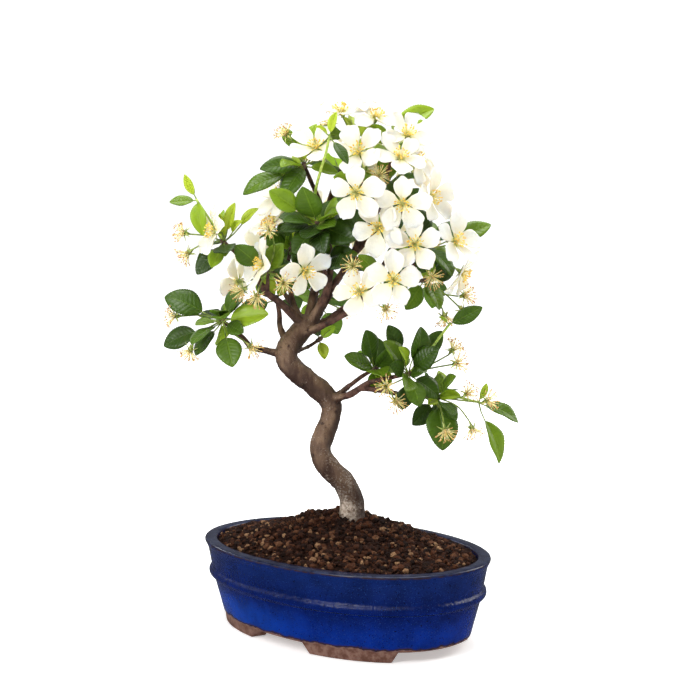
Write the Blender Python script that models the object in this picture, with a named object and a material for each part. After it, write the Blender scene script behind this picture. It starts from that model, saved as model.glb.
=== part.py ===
"""A crabapple bonsai in flower, standing in its glazed oval pot.

Metres, +Z up. The pot's long axis runs along X, and the origin is the middle of the whole
plant's footprint, on the surface that the pot stands on. The tree is written in its own front
view, in millimetres: across to the right, back away from the viewer, and up from the table.
"""

import math
import random

import bmesh
import bpy
from mathutils import Matrix, Vector
from mathutils.bvhtree import BVHTree

MM = 0.001

# Pot
POT_HALF_LENGTH = 120.0
POT_HALF_WIDTH = 82.0
POT_HEIGHT = 63.5
POT_SQUARENESS = 2.14
POT_SIDES = 32
BASE_HEIGHT = 7.5
FLOOR_HEIGHT = 13.5
FOOT_INSET = 15.2
FOOT_DEPTH = 12.0
DRAIN_RADIUS = 7.5
DRAIN_OFFSET = 46.0
SCREEN_SIDE = 26.0
SCREEN_THICKNESS = 0.8
GAP = 0.35
SOIL_EDGE = 60.5

# Tree
FRONT_TURN = math.radians(44.7)
TRUNK_HOLE_RADIUS = 11.0
LEAF_THICKNESS = 0.65
PETAL_THICKNESS = 0.65
PETAL_LENGTH = 20.5
PETIOLE_WIDTH = 1.3
PEDICEL_RADIUS = 0.65
CLEARANCE = 0.7
LEAF_TRIES = 40
LONG_LEAF = 28
BLOOM_TRIES = 60

# Trunk: across, back, up, radius
TRUNK = (
    (6, 0, 50, 10.4), (6, 0, 68, 10.2), (6, 0, 81, 9.8), (6, 0, 96, 8.8), (0, -3, 110, 8.3),
    (-13, -5, 124, 8.1), (-17, -4, 134, 7.9), (-14, 0, 145, 7.6), (-10, 3, 155, 7.3),
    (-9, 4, 165, 7.4), (-15, 2, 175, 8.1), (-29, -2, 187, 8.0), (-40, -4, 198, 8.0),
    (-41, -3, 206, 7.9), (-36, 0, 215, 7.7), (-30, 2, 222, 7.3), (-25, 4, 230, 5.6),
)

# Branches: radius where each leaves the older wood, radius at its tip, and its route
BRANCHES = {
    "low_left": (3.4, 1.5, (-37, -2, 201), (-57, -6, 207), (-67, -8, 209), (-72, -9, 216), (-87, -12, 229)),
    "stub": (2.9, 1.4, (-37, 1, 208), (-46, 6, 221), (-47, 10, 233), (-49, 12, 243)),
    "mid_left": (3.8, 1.4, (-30, 0, 226), (-45, -8, 241), (-55, -12, 249), (-62, -12, 260),
                 (-70, -9, 271), (-86, -6, 285)),
    "left_mid_spur": (1.9, 1.3, (-55, -12, 249), (-54, -15, 256), (-54, -17, 264)),
    "brown": (2.9, 1.4, (-28, 4, 224), (-36, 8, 238), (-39, 10, 250), (-41, 7, 265), (-38, 0, 282)),
    "leader": (4.3, 1.5, (-25, 3, 224), (-15, -4, 243), (-11, -6, 254), (-9, -6, 271),
               (-11, -10, 286), (-18, -18, 298)),
    "leader_spur": (2.0, 1.3, (-11, -6, 255), (-13, -11, 263), (-14, -17, 271)),
    "second": (4.3, 1.5, (-26, 5, 224), (-21, 14, 250), (-16, 20, 266), (-14, 22, 286),
               (-17, 19, 312), (-24, 8, 330), (-28, 0, 340)),
    "top": (2.7, 1.4, (-15, 21, 296), (-8, 15, 322), (1, 6, 344), (5, 0, 361)),
    "right_up": (3.9, 1.5, (-23, 2, 224), (-8, 2, 252), (0, 0, 264), (9, -4, 281), (13, -12, 305),
                 (13, -21, 328)),
    "upper_right": (2.6, 1.4, (8, -4, 279), (22, -4, 305), (30, -5, 330), (37, -8, 351)),
    "right_mid": (2.2, 1.4, (4, -2, 272), (18, -7, 287), (30, -12, 298), (40, -16, 306)),
    "right_low": (3.2, 1.4, (-31, -1, 218), (-15, -8, 225), (-2, -14, 232), (10, -20, 240), (25, -30, 262)),
    "right_back": (3.7, 1.4, (-28, 3, 221), (-10, 8, 229), (8, 12, 241), (31, 13, 252), (59, 8, 257)),
    "right_side": (2.5, 1.4, (27, 13, 251), (43, 7, 261), (54, -3, 271), (61, -11, 281)),
    "arm": (3.6, 1.4, (-12, 2, 170), (3, -6, 174), (11, -10, 179), (18, -12, 184), (30, -14, 187),
            (47, -16, 191)),
    "arm_inner": (2.4, 1.3, (-9, 1, 170), (7, 4, 182), (14, 6, 187), (23, 6, 192)),
    "arm_tip": (2.6, 1.4, (12, -10, 180), (29, -10, 178), (42, -8, 175), (56, -4, 174), (68, -2, 172)),
    "trunk_twig": (1.9, 1.3, (-35, 0, 206), (-26, 12, 208), (-18, 17, 213)),
    "back_left": (2.5, 1.3, (-34, 7, 235), (-43, 20, 246), (-52, 32, 262)),
    "back_mid": (2.5, 1.3, (-17, 19, 262), (-14, 34, 276), (-12, 47, 291)),
    "back_top": (2.2, 1.3, (-15, 21, 296), (-8, 31, 316), (-2, 37, 335)),
    "back_right": (2.5, 1.3, (10, 12, 242), (24, 26, 258), (37, 37, 282)),
    "back_upper": (2.1, 1.3, (20, -4, 301), (28, 12, 312), (32, 25, 326)),
    "back_low": (2.3, 1.3, (-29, 3, 221), (-25, 22, 229), (-20, 42, 242)),
}

# Sprays: each grows on the tip of the branch named first. Leaves: tip from the spur, then blade
# length. Shoots: end of the soft green stem from the spur, then its leaves from that end.
# Flowers: middle of the bloom in the tree's frame, then where it faces. Faded: the same for a
# flower that has dropped its petals. Extra: leaves that follow only the spiral rule.
SPRAYS = {
    "left_tip": dict(
        branch="mid_left",
        leaves=((-20, -8, -23, 23), (-8, -12, -18, 16), (5, -8, -18, 13), (26, 4, 25, 17),
                (14, -8, 15, 12), (-11, -12, 27, 19)),
        shoots=(((-20, 2, 31), ((-8, -1, 19, 16), (-20, 1, -2, 20), (5, -8, -28, 25))),),
        flowers=((-92, -14, 293, -0.85, -0.45, 0.3),),
        faded=((-114, -10, 292, -0.8, -0.4, 0.2), (-113, -4, 277, -0.7, -0.2, -0.5)),
        extra=1),
    "left_low": dict(
        branch="low_left",
        leaves=((-40, 2, 17, 29), (10, 6, 17, 15), (33, -12, 5, 30), (-18, -10, -3, 15),
                (-25, -8, -19, 24), (7, -16, -32, 27), (-42, 8, -18, 26), (22, 4, -12, 20),
                (16, -16, -8, 18)),
        shoots=(),
        flowers=(),
        faded=((-121, -16, 232, -0.9, -0.3, 0.1), (-112, -6, 240, -0.6, 0, 0.8),
               (-110, -18, 209, -0.5, -0.2, -0.8), (-64, -20, 212, 0.6, -0.5, -0.6)),
        extra=1),
    "left_mid": dict(
        branch="left_mid_spur",
        leaves=((-18, -10, 22, 22), (12, -6, 20, 22), (-20, -2, -10, 16)),
        shoots=(),
        flowers=((-56, -26, 268, -0.85, -0.4, 0.15), (-28, -34, 266, 0.55, -0.7, -0.35)),
        faded=((-71, -30, 257, -0.5, -0.7, -0.5), (-60, -32, 247, -0.2, -0.7, -0.7),
               (-40, -42, 259, 0.0, -0.95, -0.2), (-52, -38, 293, -0.2, -0.9, 0.3)),
        extra=0),
    "left_inner": dict(
        branch="brown",
        leaves=((-22, -14, 6, 22), (18, -10, 12, 22), (-14, 6, 20, 22), (-18, -34, -4, 26),
                (20, -32, -12, 24)),
        shoots=(),
        flowers=((-52, 2, 298, -0.5, -0.4, 0.7),),
        faded=(),
        extra=0),
    "centre_low": dict(
        branch="leader_spur",
        leaves=((-16, -14, -4, 18), (20, -12, 8, 20), (-2, -18, 14, 18)),
        shoots=(),
        flowers=(),
        faded=((7, -46, 270, 0.1, -0.9, 0.2),),
        extra=0),
    "centre": dict(
        branch="leader",
        leaves=((-10, -22, -10, 25), (-24, -14, 4, 24), (6, -22, -20, 22), (26, -16, -10, 27),
                (16, -20, 8, 22), (-10, -20, 26, 27), (-32, -16, 17, 26), (34, -6, 4, 22)),
        shoots=(((9, -40, 61), ((13, -6, -20, 18), (4, 2, 16, 15), (-10, -6, 6, 14))),),
        flowers=(),
        faded=(),
        extra=2),
    "top_left": dict(
        branch="second",
        leaves=((-44, -4, -19, 32), (-33, -8, -3, 28), (-14, -10, -24, 28), (-28, 2, -32, 22),
                (-17, -6, 24, 19), (-26, 10, 2, 24)),
        shoots=(),
        flowers=((-44, 6, 318, -0.6, -0.6, 0.3), (-20, -16, 352, -0.2, -0.8, 0.6)),
        faded=((-41, -6, 361, -0.5, -0.3, 0.8),),
        extra=1),
    "top": dict(
        branch="top",
        leaves=((-4, -10, 20, 16), (12, -14, 14, 18)),
        shoots=(),
        flowers=((0, 0, 377, -0.3, -0.4, 0.8), (26, -6, 373, 0.2, -0.6, 0.8)),
        faded=((-10, 8, 377, -0.5, 0.1, 0.8),),
        extra=0),
    "upper_mid": dict(
        branch="right_up",
        leaves=((-16, -10, -14, 20), (20, -8, -16, 22)),
        shoots=(),
        flowers=((10, -33, 348, -0.2, -0.8, 0.5), (8, -48, 320, 0, -1, 0.05)),
        faded=((24, -40, 331, 0.3, -0.9, 0.1),),
        extra=0),
    "upper_right": dict(
        branch="upper_right",
        leaves=((20, 10, 6, 20),),
        shoots=(((-2, -2, 17), ((31, 4, 14, 31),)),),
        flowers=((36, -37, 340, 0.1, -0.9, 0.4), (41, -18, 361, 0.4, -0.6, 0.7),
                 (52, -6, 344, 0.8, -0.4, 0.4)),
        faded=(),
        extra=0),
    "right_mid": dict(
        branch="right_mid",
        leaves=((14, -4, 16, 20), (-6, -16, -16, 20)),
        shoots=(),
        flowers=((41, -47, 312, 0.05, -0.95, -0.2), (62, -28, 316, 0.8, -0.5, 0.1),
                 (25, -38, 296, -0.3, -0.9, 0.0)),
        faded=(),
        extra=0),
    "right": dict(
        branch="right_side",
        leaves=((46, 4, 16, 29), (24, 8, 20, 22), (20, -2, -22, 26), (8, -12, -24, 24)),
        shoots=(),
        flowers=((50, -45, 283, 0.0, -0.95, 0.3), (79, -28, 285, 0.6, -0.7, 0.3),
                 (84, -8, 264, 0.8, -0.3, -0.4)),
        faded=((63, -36, 262, 0.2, -0.9, -0.3),),
        extra=0),
    "front_low": dict(
        branch="right_low",
        leaves=((-14, -8, 14, 18), (20, -6, -14, 20)),
        shoots=(),
        flowers=((34, -57, 259, 0.1, -1, 0.1), (11, -49, 251, -0.3, -0.9, 0.4)),
        faded=((29, -44, 240, 0.2, -0.8, -0.5),),
        extra=0),
    "right_low": dict(
        branch="right_back",
        leaves=((10, -14, -20, 24), (-14, -10, -20, 22), (22, 6, 10, 20), (4, -8, 16, 20)),
        shoots=(),
        flowers=(),
        faded=((86, -2, 248, 0.8, -0.3, 0.1), (87, 6, 236, 0.7, 0, -0.5), (74, 2, 230, 0.3, -0.3, -0.9)),
        extra=0),
    "arm": dict(
        branch="arm",
        leaves=((-17, -8, 24, 24), (8, 0, 34, 24), (-14, 6, 34, 20), (20, -8, 20, 24),
                (10, -12, 2, 14), (26, 8, 30, 22)),
        shoots=(((30, 4, 36), ((24, 2, 12, 30), (-8, -4, 6, 16))),),
        flowers=(),
        faded=((30, -36, 183, -0.2, -0.9, 0.1), (82, -16, 198, 0.7, -0.5, 0.4),
               (80, -6, 207, 0.5, 0, 0.8)),
        extra=1),
    "arm_tip": dict(
        branch="arm_tip",
        leaves=((5, -14, -36, 32), (-18, -10, -20, 20), (18, -8, 2, 24), (2, 2, 18, 24),
                (-14, -14, -6, 18), (-2, 14, -24, 26)),
        shoots=(((32, 4, -4), ((30, 2, -16, 28), (17, -4, -44, 33), (6, 4, 14, 14))),),
        flowers=(),
        faded=((90, -12, 177, 0.5, -0.5, 0.7), (104, -8, 170, 0.8, -0.3, 0.4),
               (94, -16, 151, 0.4, -0.4, -0.7), (73, -26, 152, 0.0, -0.7, -0.6)),
        extra=1),
    "arm_inner": dict(
        branch="arm_inner",
        leaves=((-22, -10, 10, 24), (14, -6, 18, 24), (12, -12, -10, 25), (2, 8, 22, 22),
                (-4, -14, -16, 22)),
        shoots=(),
        flowers=(),
        faded=((38, -28, 172, 0.3, -0.8, -0.4),),
        extra=1),
    "trunk_twig": dict(
        branch="trunk_twig",
        leaves=((4, -4, -15, 13), (12, 4, 10, 14)),
        shoots=(),
        flowers=(),
        faded=(),
        extra=0),
    "left_stub": dict(
        branch="stub",
        leaves=((-14, 6, 12, 18), (12, 2, 14, 17)),
        shoots=(),
        flowers=(),
        faded=(),
        extra=0),
    "back_left": dict(
        branch="back_left",
        leaves=((-24, 14, 6, 26), (-14, 16, -16, 24), (4, 24, 10, 26)),
        shoots=(),
        flowers=((-62, 54, 276, -0.4, 0.8, 0.4), (-78, 34, 256, -0.8, 0.5, 0.1)),
        faded=(),
        extra=0),
    "back_mid": dict(
        branch="back_mid",
        leaves=((-18, 14, 10, 25), (18, 16, 2, 26), (4, 18, -22, 25)),
        shoots=(),
        flowers=((-20, 70, 304, -0.2, 0.9, 0.4), (4, 74, 288, 0.3, 0.9, 0.0)),
        faded=((-16, 66, 268, -0.2, 0.8, -0.5),),
        extra=1),
    "back_top": dict(
        branch="back_top",
        leaves=((-24, 10, 8, 26), (4, 22, -12, 26), (-10, 12, 22, 22)),
        shoots=(),
        flowers=((-10, 54, 354, -0.3, 0.6, 0.7), (16, 52, 338, 0.4, 0.85, 0.2)),
        faded=(),
        extra=0),
    "back_right": dict(
        branch="back_right",
        leaves=((24, 10, 10, 27), (10, 22, -14, 26), (-18, 18, 6, 25)),
        shoots=(),
        flowers=((52, 58, 296, 0.4, 0.8, 0.4), (66, 40, 272, 0.9, 0.4, -0.1)),
        faded=(),
        extra=0),
    "back_upper": dict(
        branch="back_upper",
        leaves=((24, 12, 6, 26), (8, 22, 12, 24), (20, 4, -18, 24)),
        shoots=(),
        flowers=((50, 42, 340, 0.6, 0.7, 0.4), (28, 40, 352, 0.0, 0.7, 0.7)),
        faded=(),
        extra=0),
    "back_low": dict(
        branch="back_low",
        leaves=((-22, 14, 4, 26), (16, 18, 6, 26), (-6, 16, -22, 26)),
        shoots=(),
        flowers=(),
        faded=((0, 62, 232, 0.4, 0.8, -0.2),),
        extra=1),
}


def smooth_route(points, step):
    """A Catmull-Rom curve through the points, of any number of values each, about step apart."""
    out = []
    for i in range(len(points) - 1):
        before = points[max(i - 1, 0)]
        start = points[i]
        end = points[i + 1]
        after = points[min(i + 2, len(points) - 1)]
        length = (Vector(end[:3]) - Vector(start[:3])).length
        count = max(1, round(length / step))
        for k in range(count):
            t = k / count
            out.append([0.5 * (2 * b + (c - a) * t + (2 * a - 5 * b + 4 * c - d) * t * t
                               + (3 * b - a - 3 * c + d) * t ** 3)
                        for a, b, c, d in zip(before, start, end, after)])
    out.append(list(points[-1]))
    return out


def branch_route(name, step):
    """Points with radii from the older wood to just short of the spur at the branch's tip."""
    first, last, *points = BRANCHES[name]
    route = [Vector(p) for p in smooth_route(points, step)]
    end = route[-1]
    back = (route[-2] - end).normalized()
    route[-1] = end + back * 2.4
    count = len(route) - 1
    return [(p, first + (last - first) * (i / count) ** 0.7) for i, p in enumerate(route)]


def spur_of(spray):
    """The spur point at the tip of a spray's branch, and the way that the branch points there."""
    points = BRANCHES[spray["branch"]][2:]
    end = Vector(points[-1])
    return end, (end - Vector(points[-2])).normalized()


def bent_stem(start, end, way_in, way_out, count):
    """Points along a stem that leaves start one way and reaches end another."""
    length = (end - start).length
    a = start + way_in * length * 0.35
    b = end - way_out * length * 0.35
    points = []
    for i in range(count + 1):
        t = i / count
        u = 1 - t
        points.append(start * u ** 3 + a * 3 * u * u * t + b * 3 * u * t * t + end * t ** 3)
    return points


def random_unit(rng):
    while True:
        way = Vector((rng.uniform(-1, 1), rng.uniform(-1, 1), rng.uniform(-1, 1)))
        if 0.1 < way.length < 1:
            return way.normalized()


def leaf_half_width(t):
    """Outline of a crabapple leaf along its blade, 1 at its widest."""
    return max(0.0, math.sin(math.pi * t ** 0.92)) ** 0.7


def leaf_point(leaf, s, t):
    """Point s across (-1 to 1) and t along (0 to 1) the blade."""
    along = leaf["tip"] - leaf["base"]
    length = along.length
    ahead = along / length
    side = leaf["side"]
    up = side.cross(ahead)
    half = leaf["width"] * 0.5 * leaf_half_width(t)
    arch = leaf["arch"] * length * 4 * t * (1 - t)
    wave = leaf["wave"] * abs(s) * math.sin(5.2 * t + (2.1 if s > 0 else 0.4))
    return (leaf["base"] + along * t + side * half * s
            + up * (arch + abs(s) * half * leaf["fold"] + wave))


def leaf_surface(leaf, stalk=True):
    """Few triangles for one leaf: a strip for its stalk and a folded blade."""
    side = leaf["side"] * PETIOLE_WIDTH * 0.5
    points = [leaf["root"] - side, leaf["root"] + side, leaf["base"] - side, leaf["base"] + side]
    points += [leaf_point(leaf, s, t) for t, s in ((0.36, -1), (0.36, 0), (0.36, 1), (0.74, -1), (0.74, 1))]
    points.append(leaf["tip"])
    faces = [(0, 1, 3), (0, 3, 2), (2, 5, 4), (2, 3, 5), (3, 6, 5), (4, 5, 7), (5, 8, 7), (5, 6, 8),
             (7, 8, 9)]
    if not stalk:
        points = points[2:]
        faces = [tuple(i - 2 for i in face) for face in faces[2:]]
    return points, faces


def petal_point(bloom, petal, s, t):
    """Point s across and t along one petal, cupped and turned about the bloom's middle."""
    across, upright, facing = bloom["axes"]
    turn = petal["turn"]
    out = across * math.cos(turn) + upright * math.sin(turn)
    side = facing.cross(out)
    half = petal["width"] * 0.5 * (0.11 + 0.89 * math.sin(math.pi * min(1, t * 1.02) ** 1.3) ** 0.8)
    if t > 0.985:
        half = petal["width"] * 0.14
    reach = 2.5 + petal["length"] * t
    rise = petal["length"] * (petal["lift"] * t + petal["cup"] * t * t)
    return (bloom["middle"] + out * reach + side * half * s
            + facing * (0.35 + rise + petal["roll"] * half * abs(s) + petal["twist"] * half * s))


def bloom_surface(bloom):
    """Few triangles for one bloom: five petals round a small middle."""
    points = [bloom["middle"] + bloom["axes"][2] * 0.35]
    faces = []
    petals = bloom["petals"]
    for petal in petals:
        k = len(points)
        points += [petal_point(bloom, petal, s, t) for t, s in (
            (0, -1), (0, 1), (0.58, -1.04), (0.58, 0), (0.58, 1.04), (0.93, -1.6), (0.93, 1.6))]
        faces += [(0, k, k + 1), (0, k + 1, (k + 6) % 35 + 1)]
        faces += [tuple(k + i for i in face) for face in (
            (0, 3, 1), (0, 2, 3), (1, 3, 4), (2, 5, 3), (3, 5, 6), (3, 6, 4))]
    return points, faces


def thick(points, faces, thickness):
    """Both faces and the rim of a blade of this thickness."""
    normals = [Vector() for _ in points]
    edges = {}
    for face in faces:
        a, b, c = (points[i] for i in face)
        normal = (b - a).cross(c - a)
        for i in face:
            normals[i] += normal
        for i in range(3):
            edges[(face[i], face[(i + 1) % 3])] = 1
    n = len(points)
    half = thickness * 0.5
    solid = [p + v.normalized() * half for p, v in zip(points, normals)]
    solid += [p - v.normalized() * half for p, v in zip(points, normals)]
    sides = [tuple(face) for face in faces] + [(c + n, b + n, a + n) for a, b, c in faces]
    for a, b in edges:
        if (b, a) not in edges:
            sides += [(b, a, a + n), (b, a + n, b + n)]
    return solid, sides


def tube_faces(route, sides=4):
    """Corners and triangles of a tube through (point, radius) pairs."""
    points = []
    faces = []
    for i, (p, radius) in enumerate(route):
        ahead = (route[min(i + 1, len(route) - 1)][0] - route[max(i - 1, 0)][0]).normalized()
        side = ahead.orthogonal().normalized()
        other = ahead.cross(side)
        for k in range(sides):
            angle = 2 * math.pi * k / sides
            points.append(p + (side * math.cos(angle) + other * math.sin(angle)) * radius)
    for i in range(len(route) - 1):
        for k in range(sides):
            a = i * sides + k
            b = i * sides + (k + 1) % sides
            faces += [(a, b, b + sides), (a, b + sides, a + sides)]
    last = (len(route) - 1) * sides
    for k in range(1, sides - 1):
        faces += [(0, k + 1, k), (last, last + k, last + k + 1)]
    return points, faces


class Crown:
    """Everything that grows, with what each new piece must stay clear of."""

    def __init__(self):
        self.taken = []

    def tree_of(self, shape):
        points, faces = shape
        tree = BVHTree.FromPolygons([tuple(p) for p in points], faces, all_triangles=True)
        low = [min(p[i] for p in points) for i in range(3)]
        high = [max(p[i] for p in points) for i in range(3)]
        return tree, low, high

    def hits(self, shape, skip=()):
        """Names of the pieces that this closed shape crosses."""
        tree, low, high = self.tree_of(shape)
        found = set()
        for name, other, other_low, other_high in self.taken:
            if name in skip or name in found:
                continue
            if any(low[i] > other_high[i] or high[i] < other_low[i] for i in range(3)):
                continue
            if tree.overlap(other):
                found.add(name)
        return found

    def take(self, name, shape):
        tree, low, high = self.tree_of(shape)
        self.taken.append((name, tree, low, high))


def make_leaf(rng, root, tip, length, start):
    """A leaf with its stalk from root, set out by start, and its tip about where it is asked for."""
    reach = tip - root
    length = min(length, reach.length - 2.5)
    base = tip - reach.normalized() * length
    ahead = reach.normalized()
    outward = Vector((tip.x + 12, tip.y, 0)).normalized()
    light = Vector((0, -0.8 if tip.y < 20 else 0.3, 0.65)) + outward * 0.35
    side = ahead.cross(light.normalized() + random_unit(rng) * 0.4)
    if side.length < 0.2:
        side = ahead.orthogonal()
    slim = 0.72 if start == 0 or tip.x > 85 else 0.64 if tip.x < -52 and tip.z > 305 else 1
    return dict(root=root + ahead * start, base=base, tip=tip, side=side.normalized(),
                width=length * rng.uniform(0.6, 0.74) * slim, fold=rng.uniform(0.08, 0.3),
                arch=rng.uniform(-0.02, 0.11), wave=length * rng.uniform(0, 0.02))


def make_bloom(rng, middle, facing):
    facing = (facing.normalized() + random_unit(rng) * 0.12).normalized()
    across = facing.cross(Vector((0.1, 0.2, 1))).normalized()
    bloom = dict(middle=middle, axes=(across, facing.cross(across), facing), petals=[])
    start = rng.uniform(0, 2 * math.pi)
    openness = rng.uniform(0.0, 0.22)
    for i in range(5):
        length = PETAL_LENGTH * rng.uniform(0.92, 1.06) - 2.5
        bloom["petals"].append(dict(
            turn=start + 2 * math.pi * (i + rng.uniform(-0.04, 0.04)) / 5, length=length,
            width=length * rng.uniform(0.64, 0.73), lift=openness + rng.uniform(-0.03, 0.16),
            cup=rng.uniform(-0.12, 0.16), roll=rng.uniform(0.05, 0.3), twist=rng.uniform(-0.15, 0.15)))
    return bloom


def flower_stem(rng, spur, way, middle, facing):
    """A thin stem from the spur to the back of a flower."""
    end = middle - facing * 5.2
    lean = ((end - spur).normalized() + way * rng.uniform(0.0, 0.8) + random_unit(rng) * 0.45).normalized()
    points = bent_stem(spur + lean * 0.9, end, lean, facing, 2)
    return [(p, PEDICEL_RADIUS) for p in points] + [(middle - facing * GAP, 2.4)]


def grown(route, extra):
    return [(p, radius + extra) for p, radius in route]


def grow_leaves(rng, crown, plan, chosen):
    """Draws the leaves of the chosen lengths, each turned or shortened until it is clear."""
    for name, spray in SPRAYS.items():
        spur, way = spur_of(spray)
        wanted = [(spur, spur + Vector(leaf[:3]), leaf[3], 0.8) for leaf in spray["leaves"]]
        for (end, leaves), stem in zip(spray["shoots"], plan[name]["shoots"]):
            stop = stem[-1][0] - Vector(end).normalized() * 1.0
            wanted += [(stop, stop + Vector(leaf[:3]), leaf[3], 0.0) for leaf in leaves]
        side = way.orthogonal().normalized()
        for i in range(spray["extra"]):
            turn = 2.4 * (i + 1) + rng.uniform(-0.3, 0.3)
            out = side * math.cos(turn) + way.cross(side) * math.sin(turn) + way * rng.uniform(-0.1, 0.6)
            length = rng.uniform(20, 27)
            wanted.append((spur, spur + out.normalized() * (length + rng.uniform(5, 9)), length, 0.8))
        for root, tip, length, start in wanted:
            if not chosen(length):
                continue
            for attempt in range(LEAF_TRIES):
                loose = attempt / LEAF_TRIES
                size = length * (1 - 0.25 * loose)
                reach = (tip - root) * (1 - 0.2 * loose)
                aim = root + reach + random_unit(rng) * reach.length * (0.04 + 0.75 * loose)
                leaf = make_leaf(rng, root, aim, size, start)
                shape = thick(*leaf_surface(leaf), LEAF_THICKNESS + CLEARANCE)
                if crown.hits(shape, skip=(name,)):
                    continue
                crown.take(name, shape)
                blade = thick(*leaf_surface(leaf, stalk=False), LEAF_THICKNESS + 0.2)
                crown.take(name + " outer", blade)
                plan[name]["leaves"].append(leaf)
                break


def plan_crown(seed=7):
    """Draws every leaf and flower of every spray, each bent until it crosses nothing else."""
    rng = random.Random(seed)
    crown = Crown()
    trunk = [(Vector(p[:3]), p[3]) for p in smooth_route(TRUNK, 8)]
    crown.take("wood", tube_faces(grown(trunk, 0.6), 8))
    for name in BRANCHES:
        crown.take("wood", tube_faces(grown(branch_route(name, 9), 0.45), 6))
    plan = {name: dict(leaves=[], shoots=[], flowers=[], faded=[]) for name in SPRAYS}
    # A round knob around each spur is kept free of other sprays.
    for name, spray in SPRAYS.items():
        spur, way = spur_of(spray)
        knob = [(spur - way * 2.0, 2.4), (spur + way * 2.6, 2.2)]
        crown.take(name, tube_faces(knob, 6))
        for end, leaves in spray["shoots"]:
            stop = spur + Vector(end)
            stem = [(p, 0.9) for p in bent_stem(spur, stop, (way + Vector((0, 0, 0.6))).normalized(),
                                                 Vector(end).normalized(), 5)]
            crown.take(name, tube_faces(grown(stem, CLEARANCE * 0.5), 4))
            plan[name]["shoots"].append(stem)
    petals = Crown()
    bunches = []
    grow_leaves(rng, crown, plan, lambda length: length >= LONG_LEAF)
    for name, spray in SPRAYS.items():
        spur, way = spur_of(spray)
        for flower in spray["flowers"]:
            for attempt in range(BLOOM_TRIES):
                loose = attempt / BLOOM_TRIES
                middle = Vector(flower[:3]) + random_unit(rng) * (1 + 7 * loose)
                bloom = make_bloom(rng, middle, Vector(flower[3:]) + random_unit(rng) * 0.5 * loose)
                stem = flower_stem(rng, spur, way, middle, bloom["axes"][2])
                real = thick(*bloom_surface(bloom), PETAL_THICKNESS)
                wide = thick(*bloom_surface(bloom), PETAL_THICKNESS + CLEARANCE)
                facing = bloom["axes"][2]
                tuft = tube_faces([(middle + facing, 2.6), (middle + facing * 7.2, 7.0)], 8)
                joined = petals.hits(real)
                near = crown.hits(wide)
                if any(not hit.startswith("bunch") for hit in crown.hits(tuft)):
                    continue
                if any(not hit.startswith("bunch") for hit in near) or near != joined:
                    continue
                around = tube_faces(grown(stem, CLEARANCE * 0.5), 4)
                if crown.hits(around, skip=(name,)):
                    continue
                own = Crown()
                own.take("own", wide)
                if own.hits(tube_faces(grown(stem[:-1], CLEARANCE * 0.5), 4)):
                    continue
                bunch = f"bunch{len(bunches)}"
                bunches.append(dict(name=bunch, blooms=[bloom]))
                crown.take(bunch, wide)
                crown.take(bunch, tuft)
                petals.take(bunch, real)
                for other in joined:
                    for kept in (crown, petals):
                        kept.taken = [(bunch if t[0] == other else t[0], *t[1:]) for t in kept.taken]
                    for old in bunches:
                        if old["name"] == other:
                            bunches[-1]["blooms"] += old["blooms"]
                            old["blooms"] = []
                crown.take(name, around)
                crown.take(name + " outer", tube_faces(grown(stem[1:], CLEARANCE * 0.5), 4))
                plan[name]["flowers"].append(dict(stem=stem, middle=middle, facing=bloom["axes"][2]))
                break
        for flower in spray["faded"]:
            for attempt in range(BLOOM_TRIES):
                loose = attempt / BLOOM_TRIES
                middle = Vector(flower[:3]) + random_unit(rng) * (1 + 7 * loose)
                facing = (Vector(flower[3:]).normalized() + random_unit(rng) * 0.2).normalized()
                stem = flower_stem(rng, spur, way, middle, facing)
                around = tube_faces(grown(stem, CLEARANCE * 0.5), 4)
                head = tube_faces([(middle - facing, 2.8), (middle + facing * 9, 8.0)], 6)
                if crown.hits(around, skip=(name,)) or crown.hits(head, skip=(name,)):
                    continue
                crown.take(name, around)
                crown.take(name + " outer", tube_faces(grown(stem[1:], CLEARANCE * 0.5), 4))
                crown.take(name + " outer", head)
                plan[name]["faded"].append(dict(stem=stem, middle=middle, facing=facing))
                break
    grow_leaves(rng, crown, plan, lambda length: length < LONG_LEAF)
    return plan, [bunch["blooms"] for bunch in bunches if bunch["blooms"]]


def in_row(point):
    """From the tree's front view in millimetres to the part's frame in metres."""
    return (Matrix.Rotation(FRONT_TURN, 3, "Z") @ Vector(point)) * MM


def paint(name, colour, roughness, metallic=0.0):
    material = bpy.data.materials.new(name)
    material.use_nodes = True
    shader = material.node_tree.nodes["Principled BSDF"]
    shader.inputs["Base Color"].default_value = (*colour, 1)
    shader.inputs["Roughness"].default_value = roughness
    shader.inputs["Metallic"].default_value = metallic
    return material


def mesh_object(name, points, faces, home):
    mesh = bpy.data.meshes.new(name)
    mesh.from_pydata([tuple(p) for p in points], [], faces)
    mesh.validate()
    item = bpy.data.objects.new(name, mesh)
    home.objects.link(item)
    return item


def tidy_mesh(item):
    """Welds what coincides and turns the faces outwards."""
    shape = bmesh.new()
    shape.from_mesh(item.data)
    bmesh.ops.remove_doubles(shape, verts=shape.verts, dist=0.00001)
    bmesh.ops.recalc_face_normals(shape, faces=shape.faces)
    shape.to_mesh(item.data)
    shape.free()


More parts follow.
